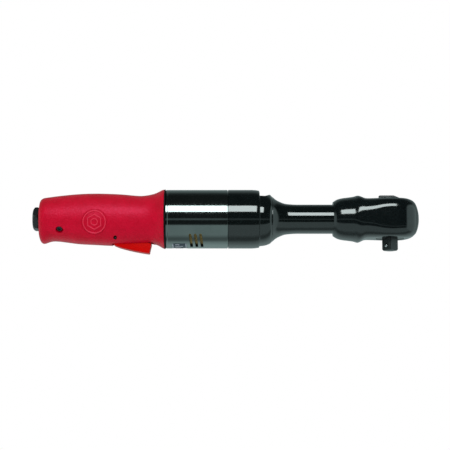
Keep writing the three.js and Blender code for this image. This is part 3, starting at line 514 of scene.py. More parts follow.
class Surface:
    """A Principled material whose colour, roughness and relief come from textures in millimetres."""

    def __init__(self, name, metallic=0.0, specular=0.5, sheen_colour=(1, 1, 1)):
        self.material = bpy.data.materials.new(name)
        self.material.use_nodes = True
        self.tree = self.material.node_tree
        self.shader = self.tree.nodes["Principled BSDF"]
        self.shader.inputs["Metallic"].default_value = metallic
        self.shader.inputs["Specular IOR Level"].default_value = specular
        self.shader.inputs["Specular Tint"].default_value = (*sheen_colour, 1)
        where = self.node("TexCoord").outputs["Object"]
        self.millimetres = self.stretched(where, (1 / MM, 1 / MM, 1 / MM))
        self.relief = None

    def node(self, kind, inputs=None, **settings):
        return add_node(self.tree, kind, inputs, **settings)

    def stretched(self, vector, scale):
        return self.node("Mapping", {"Vector": vector, "Scale": scale}).outputs["Vector"]

    def shade(self, name, socket):
        self.tree.links.new(socket, self.shader.inputs[name])

    def noise(self, size, detail, stretch=(1, 1, 1)):
        """Cloudy noise with features about size millimetres across."""
        vector = self.millimetres
        if stretch != (1, 1, 1):
            vector = self.stretched(vector, tuple(1 / s for s in stretch))
        return self.node("TexNoise", {"Vector": vector, "Scale": 1 / size, "Detail": detail}).outputs["Fac"]

    def cells(self, size):
        """Rounded cells about size millimetres across, as in a moulded grain."""
        inputs = {"Vector": self.millimetres, "Scale": 1 / size, "Smoothness": 0.6}
        return self.node("TexVoronoi", inputs, feature="SMOOTH_F1").outputs["Distance"]

    def bands(self, pitch, axis="X"):
        """Fine parallel lines across one axis, as a turning tool leaves."""
        inputs = {
            "Vector": self.millimetres, "Scale": math.pi / 10 / pitch, "Distortion": 0.6, "Detail": 1.0,
        }
        return self.node("TexWave", inputs, bands_direction=axis).outputs["Fac"]

    def colour(self, factor, *stops):
        ramp = self.node("ValToRGB", {"Fac": factor})
        fill_ramp(ramp, stops)
        self.shade("Base Color", ramp.outputs["Color"])

    def calc(self, operation, a, b=0.0):
        """A maths node on two numbers or sockets."""
        return self.node("Math", {0: a, 1: b}, operation=operation).outputs["Value"]

    def position(self):
        """A point's place along the tool, its offset sideways and its height over the tool's axis."""
        parts = self.node("SeparateXYZ", {"Vector": self.millimetres}).outputs
        return parts["X"], parts["Y"], self.calc("SUBTRACT", parts["Z"], AXIS_Z)

    def length(self, a, b):
        return self.calc("SQRT", self.calc("ADD", self.calc("MULTIPLY", a, a), self.calc("MULTIPLY", b, b)))

    def emblem_highlight_mask(self):
        """Mask of the painted highlight on the raised lines of the grip's emblem: one on the lines and zero
        elsewhere, from the position alone.
        """
        x, y, z = self.position()
        u = self.calc("SUBTRACT", x, EMBLEM_X)
        lean = self.calc("MULTIPLY", self.calc("ABSOLUTE", y), math.sin(EMBLEM_TILT * DEG))
        height = self.calc("MULTIPLY", z, math.cos(EMBLEM_TILT * DEG))
        v = self.calc("ADD", self.calc("ADD", height, lean), EMBLEM_DROP)
        radius = self.length(u, v)
        sides = []
        for k in range(3):
            along = self.calc("MULTIPLY", u, math.cos(k * 60 * DEG))
            up = self.calc("MULTIPLY", v, math.sin(k * 60 * DEG))
            sides.append(self.calc("ABSOLUTE", self.calc("ADD", along, up)))
        lines = []
        for place, size in ((radius, EMBLEM_R), (self.largest(sides), EMBLEM_HEX), (radius, EMBLEM_DOT_R)):
            off = self.calc("ABSOLUTE", self.calc("SUBTRACT", place, size))
            lines.append(self.calc("SUBTRACT", 1.0, self.calc("DIVIDE", off, EMBLEM_HIGHLIGHT_REACH)))
        return self.calc("MAXIMUM", self.largest(lines), 0.0)

    def largest(self, values):
        return self.calc("MAXIMUM", self.calc("MAXIMUM", values[0], values[1]), values[2])

    def beyond(self, radius, blend):
        """Zero inside a radius from the tool's axis, rising to one just outside it."""
        _, y, z = self.position()
        rise = self.calc("DIVIDE", self.calc("SUBTRACT", self.length(y, z), radius), blend)
        return self.calc("MINIMUM", self.calc("MAXIMUM", rise, 0.0), 1.0)

    def tinge(self, factor, colour):
        """Mixes a colour over what is there."""
        below = self.shader.inputs["Base Color"].links[0].from_socket
        mix = self.node("Mix", data_type="RGBA", inputs={
            "Factor": factor, MIX_A: below, MIX_B: (*colour, 1),
        })
        self.shade("Base Color", mix.outputs[MIX_RESULT])

    def roughness(self, factor, low, high):
        """Roughness between two values, over the middle of the factor's range."""
        inputs = {"Value": factor, "From Min": 0.35, "From Max": 0.65, "To Min": low, "To Max": high}
        self.shade("Roughness", self.node("MapRange", inputs).outputs["Result"])

    def bump(self, height, depth_mm):
        """Adds relief of the given depth, on top of what is there."""
        node = self.node("Bump", {"Height": height, "Strength": 1.0, "Distance": depth_mm * MM})
        if self.relief is not None:
            self.tree.links.new(self.relief, node.inputs["Normal"])
        self.relief = node.outputs["Normal"]
        self.shade("Normal", self.relief)


def red_grip():
    s = Surface("red_grip", specular=0.55, sheen_colour=(1, 0.16, 0.34))
    s.colour(s.noise(9, 4), (0.3, (0.38, 0.0003, 0.011)), (0.7, (0.45, 0.0006, 0.016)))
    # Painted highlight: a lighter pink mixed onto the emblem's raised lines, standing in for the glints that
    # catch them.
    s.tinge(s.emblem_highlight_mask(), (0.62, 0.035, 0.07))
    s.roughness(s.noise(1.2, 3), 0.34, 0.46)
    s.bump(s.cells(1.1), 0.15)
    s.bump(s.noise(2.2, 3), 0.09)
    s.bump(s.noise(0.35, 2), 0.02)
    return s.material


def red_trigger():
    s = Surface("red_trigger", specular=0.3, sheen_colour=(1, 0.12, 0.1))
    s.colour(s.noise(6, 3), (0.3, (0.41, 0.0006, 0.0007)), (0.7, (0.46, 0.0009, 0.0010)))
    s.roughness(s.noise(0.8, 3), 0.34, 0.46)
    s.bump(s.noise(0.5, 3), 0.015)
    return s.material


def gunmetal():
    s = Surface("gunmetal", metallic=1.0)
    s.colour(s.noise(14, 3), (0.3, (0.185, 0.205, 0.20)), (0.7, (0.215, 0.235, 0.23)))
    s.roughness(s.noise(2.5, 4, (0.25, 1, 1)), 0.07, 0.13)
    s.bump(s.bands(0.16), 0.0006)
    s.bump(s.noise(4, 2), 0.002)
    return s.material


def black_nut():
    s = Surface("black_nut", specular=0.9)
    s.colour(s.noise(8, 3), (0.3, (0.0012, 0.0026, 0.0027)), (0.7, (0.0020, 0.0038, 0.0038)))
    s.roughness(s.noise(2, 4, (0.3, 1, 1)), 0.05, 0.10)
    s.bump(s.bands(0.22), 0.0006)
    return s.material


def black_boot():
    s = Surface("black_boot", specular=0.85)
    s.colour(s.noise(7, 3), (0.3, (0.0014, 0.0030, 0.0034)), (0.7, (0.0022, 0.0042, 0.0046)))
    s.roughness(s.noise(1.5, 4), 0.08, 0.15)
    s.bump(s.noise(5, 2), 0.02)
    s.bump(s.noise(0.6, 2), 0.0015)
    return s.material


def black_oxide():
    s = Surface("black_oxide", specular=0.6)
    s.colour(s.noise(3, 4), (0.3, (0.0030, 0.0052, 0.0056)), (0.7, (0.0070, 0.0105, 0.0112)))
    s.roughness(s.noise(0.7, 4), 0.26, 0.42)
    s.bump(s.noise(0.4, 3), 0.004)
    return s.material


def dark_plate():
    s = Surface("dark_plate", metallic=0.6)
    s.colour(s.noise(3, 3), (0.3, (0.020, 0.030, 0.048)), (0.7, (0.030, 0.042, 0.064)))
    s.tinge(s.beyond(PLATE_R[1] - 0.1, 0.06), (0.42, 0.44, 0.50))
    s.roughness(s.noise(0.8, 3), 0.32, 0.45)
    s.bump(s.bands(0.2, "Y"), 0.002)
    return s.material


def steel():
    s = Surface("steel", metallic=1.0)
    s.colour(s.noise(4, 3), (0.3, (0.50, 0.51, 0.52)), (0.7, (0.62, 0.63, 0.64)))
    s.roughness(s.noise(1, 4), 0.16, 0.30)
    s.bump(s.noise(0.5, 2), 0.002)
    return s.material


def brass():
    s = Surface("brass", metallic=1.0)
    s.colour(
        s.cells(0.55), (0.1, (0.44, 0.29, 0.115)), (0.5, (0.36, 0.225, 0.085)), (0.8, (0.10, 0.06, 0.025)),
    )
    s.roughness(s.noise(0.5, 3), 0.38, 0.6)
    s.bump(s.cells(0.55), 0.12)
    return s.material


def rubber():
    s = Surface("rubber", specular=0.3)
    s.colour(s.noise(3, 3), (0.3, (0.006, 0.005, 0.006)), (0.7, (0.012, 0.010, 0.011)))
    s.roughness(s.noise(0.8, 3), 0.55, 0.75)
    s.bump(s.noise(0.4, 2), 0.01)
    return s.material


def aluminium():
    s = Surface("aluminium", metallic=1.0)
    s.colour(s.noise(5, 3), (0.3, (0.62, 0.63, 0.64)), (0.7, (0.72, 0.73, 0.74)))
    s.roughness(s.noise(1, 4), 0.3, 0.45)
    s.bump(s.bands(0.25), 0.004)
    return s.material


def phenolic():
    s = Surface("phenolic", specular=0.4)
    s.colour(s.noise(1.2, 5, (4, 1, 1)), (0.3, (0.16, 0.07, 0.03)), (0.7, (0.26, 0.13, 0.06)))
    s.roughness(s.noise(0.8, 3), 0.5, 0.7)
    s.bump(s.noise(0.4, 3, (4, 1, 1)), 0.01)
    return s.material


MATERIALS = {
    make.__name__: make()
    for make in (
        red_grip, red_trigger, gunmetal, black_nut, black_boot, black_oxide, dark_plate, steel, brass,
        rubber, aluminium, phenolic,
    )
}
SLOT_OF = {part["node"]: part["material_slot"] for part in frame["record"]["subparts"]}
for cad_name, cad_node in frame["nodes"].items():
    cad_node.data.materials.clear()
    cad_node.data.materials.append(MATERIALS[SLOT_OF[cad_name]])


# ---- hand grip ---------------------------------------------------------------

def ridge(distance, half_width, edge=0.3):
    """1 on a raised line, falling to 0 over its edge."""
    return 1 - smoothstep(half_width - edge / 2, half_width + edge / 2, abs(distance))


def hexagon(u, v):
    """How far a point lies from the centre, measured to the nearest side of a hexagon."""
    return max(abs(u * math.cos(k * 60 * DEG) + v * math.sin(k * 60 * DEG)) for k in range(3))


def emblem_height(u, v):
    """Relief of the emblem in millimetres: a ring, a groove outside it, and a hexagon and a dot inside."""
    radius = math.hypot(u, v)
    height = RING_LIFT * ridge(radius - EMBLEM_R, 0.45)
    height -= GROOVE_DEPTH * ridge(radius - EMBLEM_R - GROOVE_OFFSET, 0.4)
    height -= FIELD_DEPTH * (1 - smoothstep(EMBLEM_R - 0.9, EMBLEM_R - 0.4, radius))
    height += LINE_LIFT * ridge(hexagon(u, v) - EMBLEM_HEX, 0.4)
    height += LINE_LIFT * ridge(radius - EMBLEM_DOT_R, 0.35)
    return height


def grip_point(x, angle, top, bottom, side):
    """A point on the grip's outside, with its moulded relief."""
    sine, cosine = math.sin(angle), math.cos(angle)
    y = side(x) * cosine
    z = (top(x) if sine > 0 else bottom(x)) * sine
    # Both sides carry the emblem, so y counts without its sign.
    level = z * math.cos(EMBLEM_TILT * DEG) + abs(y) * math.sin(EMBLEM_TILT * DEG) + EMBLEM_DROP
    lift = 0.0
    if abs(cosine) > 0.5 and abs(x - EMBLEM_X) < EMBLEM_R + 2:
        lift = emblem_height(x - EMBLEM_X, level)
    outward = Vector((0, y, z)).normalized()
    return Vector((x, y, z)) + outward * lift


def grip_angles():
    """Angles round the grip, close together where the emblems are."""
    half_width = 18.9  # of the grip at the emblem
    fine = math.asin((EMBLEM_R + 2.4) / half_width)
    drop = 12 * DEG  # the emblem sits below the widest line
    near, far = math.pi + drop, 2 * math.pi - drop
    step_fine, step_wide = 0.8 * DEG, 3.0 * DEG
    angles = spread(near - fine, near + fine, step_fine)
    angles += spread(near + fine, far - fine, step_wide)[1:-1]
    angles += spread(far - fine, far + fine, step_fine)
    angles += spread(far + fine, near - fine + 2 * math.pi, step_wide)[1:-1]
    return angles


def grip_stations():
    """Places along the grip, close together at its ends and through the emblem."""
    tail, flange = -277, -196  # where the curves of the two ends begin
    first, last = EMBLEM_X - EMBLEM_R - EMBLEM_MARGIN, EMBLEM_X + EMBLEM_R + EMBLEM_MARGIN
    stations = spread(GRIP_X[0], tail, 0.45)[:-1] + spread(tail, first, 1.0)[:-1]
    stations += spread(first, last, 0.27)[:-1] + spread(last, flange, 1.1)[:-1]
    return stations + spread(flange, GRIP_X[1], 0.6)


def along_screw(obj):
    turn = Matrix.Rotation(SCREW_TURN * DEG, 4, "X")
    return moved(obj, Matrix.Translation((SCREW_X, 0, 0)) @ turn)


def at_trigger_pin(obj):
    return moved(obj, Matrix.Translation((TRIGGER_PIN[0], 0, TRIGGER_PIN[1])))


def pin_hole(half_length):
    hole = rod_z(-half_length, half_length, TRIGGER_PIN_HOLE_R)
    return at_trigger_pin(moved(hole, Matrix.Rotation(math.pi / 2, 4, "X")))


def build_grip():
    top, bottom, side = through(GRIP_TOP), through(GRIP_BOTTOM), through(GRIP_SIDE)
    angles = grip_angles()
    shell = skin([
        [grip_point(x, angle, top, bottom, side) for angle in angles] for x in grip_stations()
    ])
    rear, front = GRIP_X
    bore = lathe([
        (rear + GRIP_REAR_WALL, 0), (rear + GRIP_REAR_WALL, CORE_R), (front - MOUTH_CHAMFER, CORE_R),
        (front + OVERCUT, CORE_R + MOUTH_FLARE), (front + OVERCUT, 0),
    ])
    rear_hole = lathe([
        (rear - OVERCUT, 0), (rear - OVERCUT, GRIP_REAR_HOLE_R + MOUTH_FLARE),
        (rear + MOUTH_CHAMFER, GRIP_REAR_HOLE_R), (rear + 4, GRIP_REAR_HOLE_R), (rear + 4, 0),
    ])
    slot = rectangle(TRIGGER_SLOT_X, TRIGGER_SLOT_HALF_WIDTH, TRIGGER_SLOT_CORNER_R)
    slot = prism(rounded(slot), *TRIGGER_SLOT_Z, "Z")
    # The counterbore runs out to a small point towards the head.
    tear = [(0.0, -SCREW_HOLE_POINT)] + arc(SCREW_HOLE_R, -50, 230, 28)
    counterbore = along_screw(prism([(-v, u) for u, v in tear], SCREW_HOLE_FLOOR, 25, "Z"))
    clearance = along_screw(rod_z(12, 17, SCREW_CLEARANCE_R))
    carve(shell, bore, rear_hole, slot, pin_hole(25), counterbore, clearance)
    piece(shell, "grip_shell", "root", "handle_grip", sharp=40)


def build_trigger():
    depth = through(TRIGGER_EDGE)
    edge = [(x, depth(x)) for x in spread(TRIGGER_EDGE[0][0], TRIGGER_EDGE[-1][0], 2)]
    end = rounded(TRIGGER_END, steps=6, closed=False)
    hub = arc(TRIGGER_HUB_R, 77, 190, 14, TRIGGER_PIN)
    outline = edge + end[1:] + [TRIGGER_INNER_CORNER] + hub
    body = prism(outline, -TRIGGER_HALF_WIDTH, TRIGGER_HALF_WIDTH, "Y")
    soften(body, 0.7, 3, 30)
    carve(body, pin_hole(10))
    piece(body, "trigger_lever", "trigger", "trigger", sharp=30)


def build_trigger_pin():
    half, radius, chamfer = 8.6, 1.2, 0.25
    profile = [
        (-half, 0), (-half, radius - chamfer), (-half + chamfer, radius), (half - chamfer, radius),
        (half, radius - chamfer), (half, 0),
    ]
    pin = moved(lathe(profile, SMALL_ROUND), Matrix.Rotation(math.pi / 2, 4, "Z"))
    piece(at_trigger_pin(pin), "trigger_pivot", "root", "trigger_pin")


def build_screw():
    profile = rounded([
        (0, SCREW_TIP), (SCREW_SHANK_R, SCREW_TIP, 0.2), (SCREW_SHANK_R, SCREW_SEAT),
        (SCREW_HEAD_R, SCREW_SEAT), (SCREW_HEAD_R, SCREW_TOP, 0.45), (0, SCREW_TOP),
    ], closed=False)
    head = lathe_z(profile, SMALL_ROUND)
    socket = prism(arc(SCREW_SOCKET_R, 0, 300, 5), SCREW_SOCKET_FLOOR, 18, "Z")
    piece(along_screw(carve(head, socket)), "screw_head", "root", "grip_screw")


def build_inlet():
    rear, front = HEX_X
    flat = HEX_ACROSS_FLATS / 2
    corner = flat / math.cos(30 * DEG)
    clear = corner + 0.1
    hexagon_bar = prism(arc(corner, 180 - HEX_TURN, 480 - HEX_TURN, 5), rear, front, "X")
    soften(hexagon_bar, 0.25, 2)
    cone = lathe(rounded([
        (rear, 0), (rear, HEX_FACE_R, 0.3), (rear + 0.6, 8.6, 0.6), (rear + 1.3, 9.4, 0.6),
        (rear + 2.3, clear), (front - 1.3, clear), (front, flat - 0.2), (front, 0),
    ], closed=False))
    combine(hexagon_bar, [cone], "INTERSECT")
    join(hexagon_bar, rod(front - 1, INLET_SHANK_END_X, INLET_SHANK_R, ROUND))
    mouth = lathe([
        (rear - OVERCUT, 0), (rear - OVERCUT, INLET_BORE_R + MOUTH_FLARE),
        (rear + MOUTH_CHAMFER, INLET_BORE_R), (rear + MOUTH_CHAMFER, 0),
    ])
    carve(hexagon_bar, mouth, thread_plug(rear - 0.5, INLET_BORE_END_X))
    piece(hexagon_bar, "inlet_hexagon", "root", "inlet_bushing", sharp=28)


def thread_plug(start, end):
    """A threaded plug: its flanks rise and fall once in a pitch, and run round as a helix."""
    rings = []
    for x in spread(start, end, THREAD_PITCH / 6):
        ring = []
        for k in range(SMALL_ROUND):
            turn = k / SMALL_ROUND
            phase = ((x - start) / THREAD_PITCH + turn) % 1
            radius = INLET_BORE_R - 0.1 + THREAD_DEPTH * (1 - abs(2 * phase - 1))
            angle = 2 * math.pi * turn
            ring.append(Vector((x, radius * math.cos(angle), radius * math.sin(angle))))
        rings.append(ring)
    return skin(rings)


def build_gasket():
    x0, x1 = GASKET_X
    ring = lathe(rounded([(x0, CORE_R), (x0, GASKET_R, 0.2), (x1, GASKET_R, 0.2), (x1, CORE_R)]))
    piece(ring, "seal_ring", "root", "grip_gasket")


# ---- air motor ---------------------------------------------------------------

def build_motor_case():
    rear, front = MOTOR_X
    chamfer = 0.55
    groove_x, groove_half_width, groove_depth = rear + 1.9, 0.2, 0.12
    rim_x, rim_r = front + 0.22, MOTOR_R - 0.7  # a low rim, which fills the joint with the nut
    recess_start, recess_end = MUFFLER_X[0] - MUFFLER_GAP, MUFFLER_X[1] + MUFFLER_GAP
    wall_start, wall_end = MOTOR_WALL_X
    case = lathe(rounded([
        (rear, CORE_R), (rear, MOTOR_R - chamfer), (rear + chamfer, MOTOR_R),
        (groove_x - groove_half_width, MOTOR_R), (groove_x, MOTOR_R - groove_depth),
        (groove_x + groove_half_width, MOTOR_R), (front, MOTOR_R, 0.35), (front, rim_r),
        (rim_x, rim_r), (rim_x, SPIGOT_R), (SPIGOT_END_X, SPIGOT_R), (SPIGOT_END_X, MOTOR_BORE_R),
        (recess_end, MOTOR_BORE_R), (recess_end, MUFFLER_RECESS_R),
        (recess_start, MUFFLER_RECESS_R), (recess_start, MOTOR_BORE_R),
        (wall_end, MOTOR_BORE_R), (wall_end, MOTOR_WALL_HOLE_R),
        (wall_start, MOTOR_WALL_HOLE_R), (wall_start, CORE_R),
    ]), FINE_ROUND)
    tools = []
    middle, half_length = sum(EXHAUST_Y) / 2, (EXHAUST_Y[1] - EXHAUST_Y[0]) / 2
    for k in range(EXHAUST_SLOTS):
        x = EXHAUST_FIRST_X + k * EXHAUST_PITCH
        for side in (1, -1):
            slot = prism(stadium(half_length, EXHAUST_WIDTH / 2), *EXHAUST_Z, "Z")
            moved(slot, Matrix.Translation((0, side * middle, 0)))
            moved(slot, Matrix.Rotation(EXHAUST_SLANT * DEG, 4, "Y"))
            tools.append(moved(slot, Matrix.Translation((x, 0, 0))))
    start, end = -90 - PLATE_HALF_ANGLE - PLATE_GAP_ANGLE, -90 + PLATE_HALF_ANGLE + PLATE_GAP_ANGLE
    band = arc(PLATE_R[0] - PLATE_GAP, start, end, 40) + arc(MOTOR_R + OVERCUT, end, start, 40)
    tools.append(prism(band, PLATE_X[0] - PLATE_GAP, PLATE_X[1] + PLATE_GAP, "X"))
    carve(case, *tools)
    piece(case, "motor_case", "root", "motor_housing", sharp=28)


def build_plate():
    """The plate on the underside, with plain raised bars in place of any wording."""
    half = PLATE_HALF_ANGLE
    low_r, high_r = PLATE_R
    base_r = high_r - PLATE_RELIEF
    x0, x1 = PLATE_X
    plate = prism(
        arc(low_r, -90 - half, -90 + half, 48) + arc(base_r, -90 + half, -90 - half, 48), x0, x1, "X",
    )
    inset, inset_angle, frame_width = 0.2, 0.6, 0.7
    bars = [
        band_bar(x0 + inset, x0 + inset + frame_width, -half + inset_angle, half - inset_angle),
        band_bar(x1 - inset - frame_width, x1 - inset, -half + inset_angle, half - inset_angle),
    ]
    rows, margin_angle, bar_half_angle, bar_gap = 7, 4.5, 1.1, 2.4
    for k in range(rows):
        centre = -half + margin_angle + k * (2 * half - 2 * margin_angle) / (rows - 1)
        reach = (0.5, 0.9, 0.7)[k % 3] * (x1 - x0 - 2 * bar_gap)
        start, end = centre - bar_half_angle, centre + bar_half_angle
        bars.append(band_bar(x0 + bar_gap, x0 + bar_gap + reach, start, end))
    join(plate, *bars)
    piece(plate, "rating_panel", "root", "rating_plate", sharp=30)


def band_bar(x0, x1, start, end):
    """A thin raised bar on the plate, between two angles from the bottom, rooted in the plate."""
    low, high = PLATE_R[1] - 0.3, PLATE_R[1]
    ring = arc(low, start - 90, end - 90, 12) + arc(high, end - 90, start - 90, 12)
    return prism(ring, x0, x1, "X")


def build_muffler():
    x0, x1 = MUFFLER_X
    inner, outer = MUFFLER_R
    sleeve = lathe(rounded([(x0, inner), (x0, outer, 0.2), (x1, outer, 0.2), (x1, inner)]))
    piece(sleeve, "muffler_sleeve", "root", "exhaust_muffler")


# ---- clamp nut and ratchet housing -------------------------------------------

def build_nut():
    rear, front = NUT_X
    fall, dome = through(NUT_FALL), through(NUT_DOME)
    outside = NUT_SKIRT + [(x, fall(x)) for x in (-110.5, -108.5, -107.2)] + NUT_EDGE
    outside += [(x, dome(x)) for x in spread(-104.6, -95.6, 0.7)] + [NUT_DOME[-1]]
    nut = lathe(outside + [
        (front, NUT_BORE_R), (NUT_SHOULDER_X, NUT_BORE_R), (NUT_SHOULDER_X, NUT_SKIRT_R), (rear, NUT_SKIRT_R),
    ], FINE_ROUND)
    tools = []
    for turn in NUT_NOTCH_TURNS:
        notch = prism(rounded(NUT_NOTCH), -NUT_NOTCH_REACH, NUT_NOTCH_REACH, "Y")
        tools.append(moved(notch, Matrix.Rotation(turn * DEG, 4, "X")))
    carve(nut, *tools)
    piece(nut, "nut_cap", "root", "clamp_nut", sharp=26)


def rounded_ring(x, half_width, half_height, corner, count):
    """A rounded rectangle across X, sampled off its quadrant points so that the flats stay straight."""
    radius = min(corner, half_width, half_height)
    ring = []
    for k in range(count):
        angle = (k + 0.5) * 2 * math.pi / count
        side, level = math.copysign(1, math.cos(angle)), math.copysign(1, math.sin(angle))
        y = side * (half_width - radius) + radius * math.cos(angle)
        z = level * (half_height - radius) + radius * math.sin(angle)
        ring.append(Vector((x, y, z)))
    return ring


def head_rings(grow, count=64):
    """The ratchet housing's head from the neck to the nose, grown all round by a clearance."""
    sections = [
        (-46.6, NECK_R, NECK_R, NECK_R), (-40, NECK_R, NECK_R, NECK_R), (-35, 13.6, 12.8, 12),
        (-30, 16, 13.7, 10), (-25, 16.9, EAR_OUTER_Z, 8.5), (-20, HEAD_R, EAR_OUTER_Z, 8),
    ]
    for degrees in (0, 20, 38, 53, 66, 77, 85):
        side = math.cos(degrees * DEG)
        height = EAR_OUTER_Z - 5.5 * (1 - side) ** 2.5
        sections.append(((HEAD_R + grow) * math.sin(degrees * DEG), HEAD_R * side, height, 8))
    return [rounded_ring(x, w + grow, h + grow, c + grow, count) for x, w, h, c in sections]


def build_neck():
    flare = through(NECK_FLARE)
    start, end = HUB_X
    neck = lathe([
        (start, 0), (start, HUB_R), (SPIGOT_END_X, HUB_R), (SPIGOT_END_X, HUB_R - HUB_GROOVE_DEPTH),
        (NUT_SHOULDER_X, HUB_R - HUB_GROOVE_DEPTH), (NUT_SHOULDER_X, HUB_R), (end, HUB_R),
        *[(x, flare(x)) for x in spread(end, NECK_FLARE[-1][0], 0.9)], (NECK_END_X, NECK_R), (NECK_END_X, 0),
    ])
    join(neck, skin(head_rings(0)))
    needle_start, needle_end = NEEDLE_BEARING_X
    carve(
        neck,
        lathe([
            (start - OVERCUT, 0), (start - OVERCUT, CRANK_BEARING_R), (CRANK_BEARING_X, CRANK_BEARING_R),
            (CRANK_BEARING_X, SHAFT_BORE_R), (needle_start, SHAFT_BORE_R), (needle_start, NEEDLE_BEARING_R),
            (needle_end, NEEDLE_BEARING_R), (needle_end, 0),
        ]),
        prism(rectangle((-30, 20), 20), -EAR_INNER_Z, EAR_INNER_Z, "Z"),
        rod_z(0, EAR_OUTER_Z + OVERCUT, UPPER_BORE_R, ROUND),
        lathe_z([
            (0, -EAR_OUTER_Z - OVERCUT), (RETAINER_R, -EAR_OUTER_Z - OVERCUT), (RETAINER_R, RETAINER_Z),
            (LOWER_BORE_R, RETAINER_Z), (LOWER_BORE_R, 0), (0, 0),
        ]),
    )
    piece(neck, "neck_housing", "root", "ratchet_housing")


def build_boot():
    curves = [through([(s[0], s[k]) for s in BOOT_SECTIONS]) for k in (1, 2, 3)]
    stations = spread(-46, -38.5, 0.5)[:-1] + spread(-38.5, -18.5, 0.7)[:-1] + spread(-18.5, 4, 1.5)[:-1]
    stations += spread(4, 19, 0.5)[:-1] + spread(19, 23.4, 0.25)
    boot = skin([rounded_ring(x, *(curve(x) for curve in curves), 160) for x in stations])
    chamfer, outside_z, clearance = 0.5, 20, 0.3
    level = BOOT_HALF_HEIGHT + 0.05  # just over the flat face
    top = lathe_z([
        (0, 0), (BOOT_TOP_HOLE_R, 0), (BOOT_TOP_HOLE_R, BOOT_HALF_HEIGHT - chamfer),
        (BOOT_TOP_HOLE_R + chamfer, level), (BOOT_TOP_HOLE_R + chamfer, outside_z), (0, outside_z),
    ])
    bottom = lathe_z([
        (0, -outside_z), (BOOT_BOTTOM_HOLE_R + chamfer, -outside_z), (BOOT_BOTTOM_HOLE_R + chamfer, -level),
        (BOOT_BOTTOM_HOLE_R, -BOOT_HALF_HEIGHT + chamfer), (BOOT_BOTTOM_HOLE_R, 0), (0, 0),
    ])
    carve(boot, skin(head_rings(clearance)), top, bottom)
    piece(boot, "head_cover", "root", "head_boot", sharp=38)


# ---- ratchet head ------------------------------------------------------------

def toward_ball(obj):
    """Turns a piece drawn along +X to face out of the square's ball side, at the ball's height."""
    return moved(obj, Matrix.Translation((0, 0, BALL_Z)) @ Matrix.Rotation((180 + DRIVE_TURN) * DEG, 4, "Z"))


def build_anvil():
    groove_r = 9.7  # of the retaining ring's groove
    body = lathe_z(rounded([
        (0, -15.7), (LOWER_JOURNAL_R, -15.7, 0.4), (LOWER_JOURNAL_R, -13.9), (groove_r, -13.9),
        (groove_r, RETAINER_Z), (LOWER_JOURNAL_R, RETAINER_Z),
        (LOWER_JOURNAL_R, -DRUM_HALF_HEIGHT), (DRUM_R, -DRUM_HALF_HEIGHT),
        (DRUM_R, DRUM_HALF_HEIGHT), (UPPER_JOURNAL_R, DRUM_HALF_HEIGHT), (UPPER_JOURNAL_R, 13, 0.3),
        (5, 13), (5, -5), (0, -5),
    ], closed=False))
    half = DRIVE_SQUARE / 2
    corners = ((half, half), (-half, half), (-half, -half), (half, -half))
    square = prism(rounded([(*corner, DRIVE_CORNER_R) for corner in corners], 6), -AXIS_Z, -15.2, "Z")
    moved(square, Matrix.Rotation(DRIVE_TURN * DEG, 4, "Z"))
    tip = lathe_z(rounded([
        (0, -AXIS_Z), (5.4, -AXIS_Z, 0.5), (6.6, -AXIS_Z + 1.3, 0.8), (6.6, -14), (0, -14),
    ], closed=False))
    combine(square, [tip], "INTERSECT")
    join(body, square)
    well = rod(-2.6, 8, BALL_WELL_R)
    lip = lathe([
        (half - 0.35, 0), (half - 0.35, BALL_WELL_R), (half + 0.2, BALL_R + 0.7), (half + 0.2, 0),
    ], SMALL_ROUND)
    pocket = rectangle(PAWL_POCKET_X, PAWL_POCKET_HALF_WIDTH)
    carve(
        body, toward_ball(well), toward_ball(lip),
        prism(pocket, -PAWL_POCKET_HALF_HEIGHT, PAWL_POCKET_HALF_HEIGHT, "Z"),
        moved(rod_z(-5.3, 14, PAWL_PIN_R), Matrix.Translation((PAWL_PIN_X, 0, 0))),
    )
    piece(body, "square_drive", "anvil", "anvil", sharp=30)


def build_ball():
    """The socket ball, with the small flat that it wears on its crown."""
    crown = BALL_R * 0.985
    turn = [(BALL_R * math.cos(a), BALL_R * math.sin(a)) for a in spread(math.pi, 0.18, 0.14)]
    ball = lathe([(-BALL_R, 0)] + turn[1:] + [(crown, 0)], SMALL_ROUND)
    moved(ball, Matrix.Translation((DRIVE_SQUARE / 2 - 0.9, 0, 0)))
    piece(toward_ball(ball), "lock_ball", "socket_ball", "socket_ball", sharp=60)


def build_knob():
    disc = lathe_z(rounded([
        (0, KNOB_LOW_Z), (KNOB_SHANK_R, KNOB_LOW_Z), (KNOB_SHANK_R, KNOB_DISC_Z),
        (KNOB_R, KNOB_DISC_Z, 0.3), (KNOB_R, KNOB_BAR_Z, 0.5), (0, KNOB_BAR_Z),
    ], closed=False))
    bar = prism(rounded([
        (-9, 16), (9, 16), (9, KNOB_BAR_Z), (3.2, KNOB_TOP_Z, 1.5), (-9, KNOB_TOP_Z),
    ]), -KNOB_BAR_HALF_WIDTH, KNOB_BAR_HALF_WIDTH, "Y")
    soften(bar, 0.35, 3, 30)
    round_edge = lathe_z(rounded([
        (0, 15), (KNOB_R - 0.1, 15), (KNOB_R - 0.1, KNOB_TOP_Z, 0.6), (0, KNOB_TOP_Z),
    ], closed=False))
    combine(bar, [round_edge], "INTERSECT")
    join(disc, bar)
    tools = [rod(-3.2, 6, 1.6)]  # the plunger's blind bore in the shank
    for k in range(KNOB_FLUTES):
        flute = rod_z(13, 17.2, KNOB_FLUTE_R, 12)
        turn = Matrix.Rotation((k + 0.5) * 360 / KNOB_FLUTES * DEG, 4, "Z")
        tools.append(moved(flute, turn @ Matrix.Translation((KNOB_R + 0.12, 0, 0))))
    carve(disc, *tools)
    piece(disc, "selector_knob", "reverse_knob", "reverse_knob", sharp=30)


for build_piece in (
    build_grip, build_trigger, build_trigger_pin, build_screw, build_inlet, build_gasket, build_motor_case,
    build_plate, build_muffler, build_nut, build_neck, build_boot, build_anvil, build_ball, build_knob,
):
    build_piece()


# ---- stage -------------------------------------------------------------------

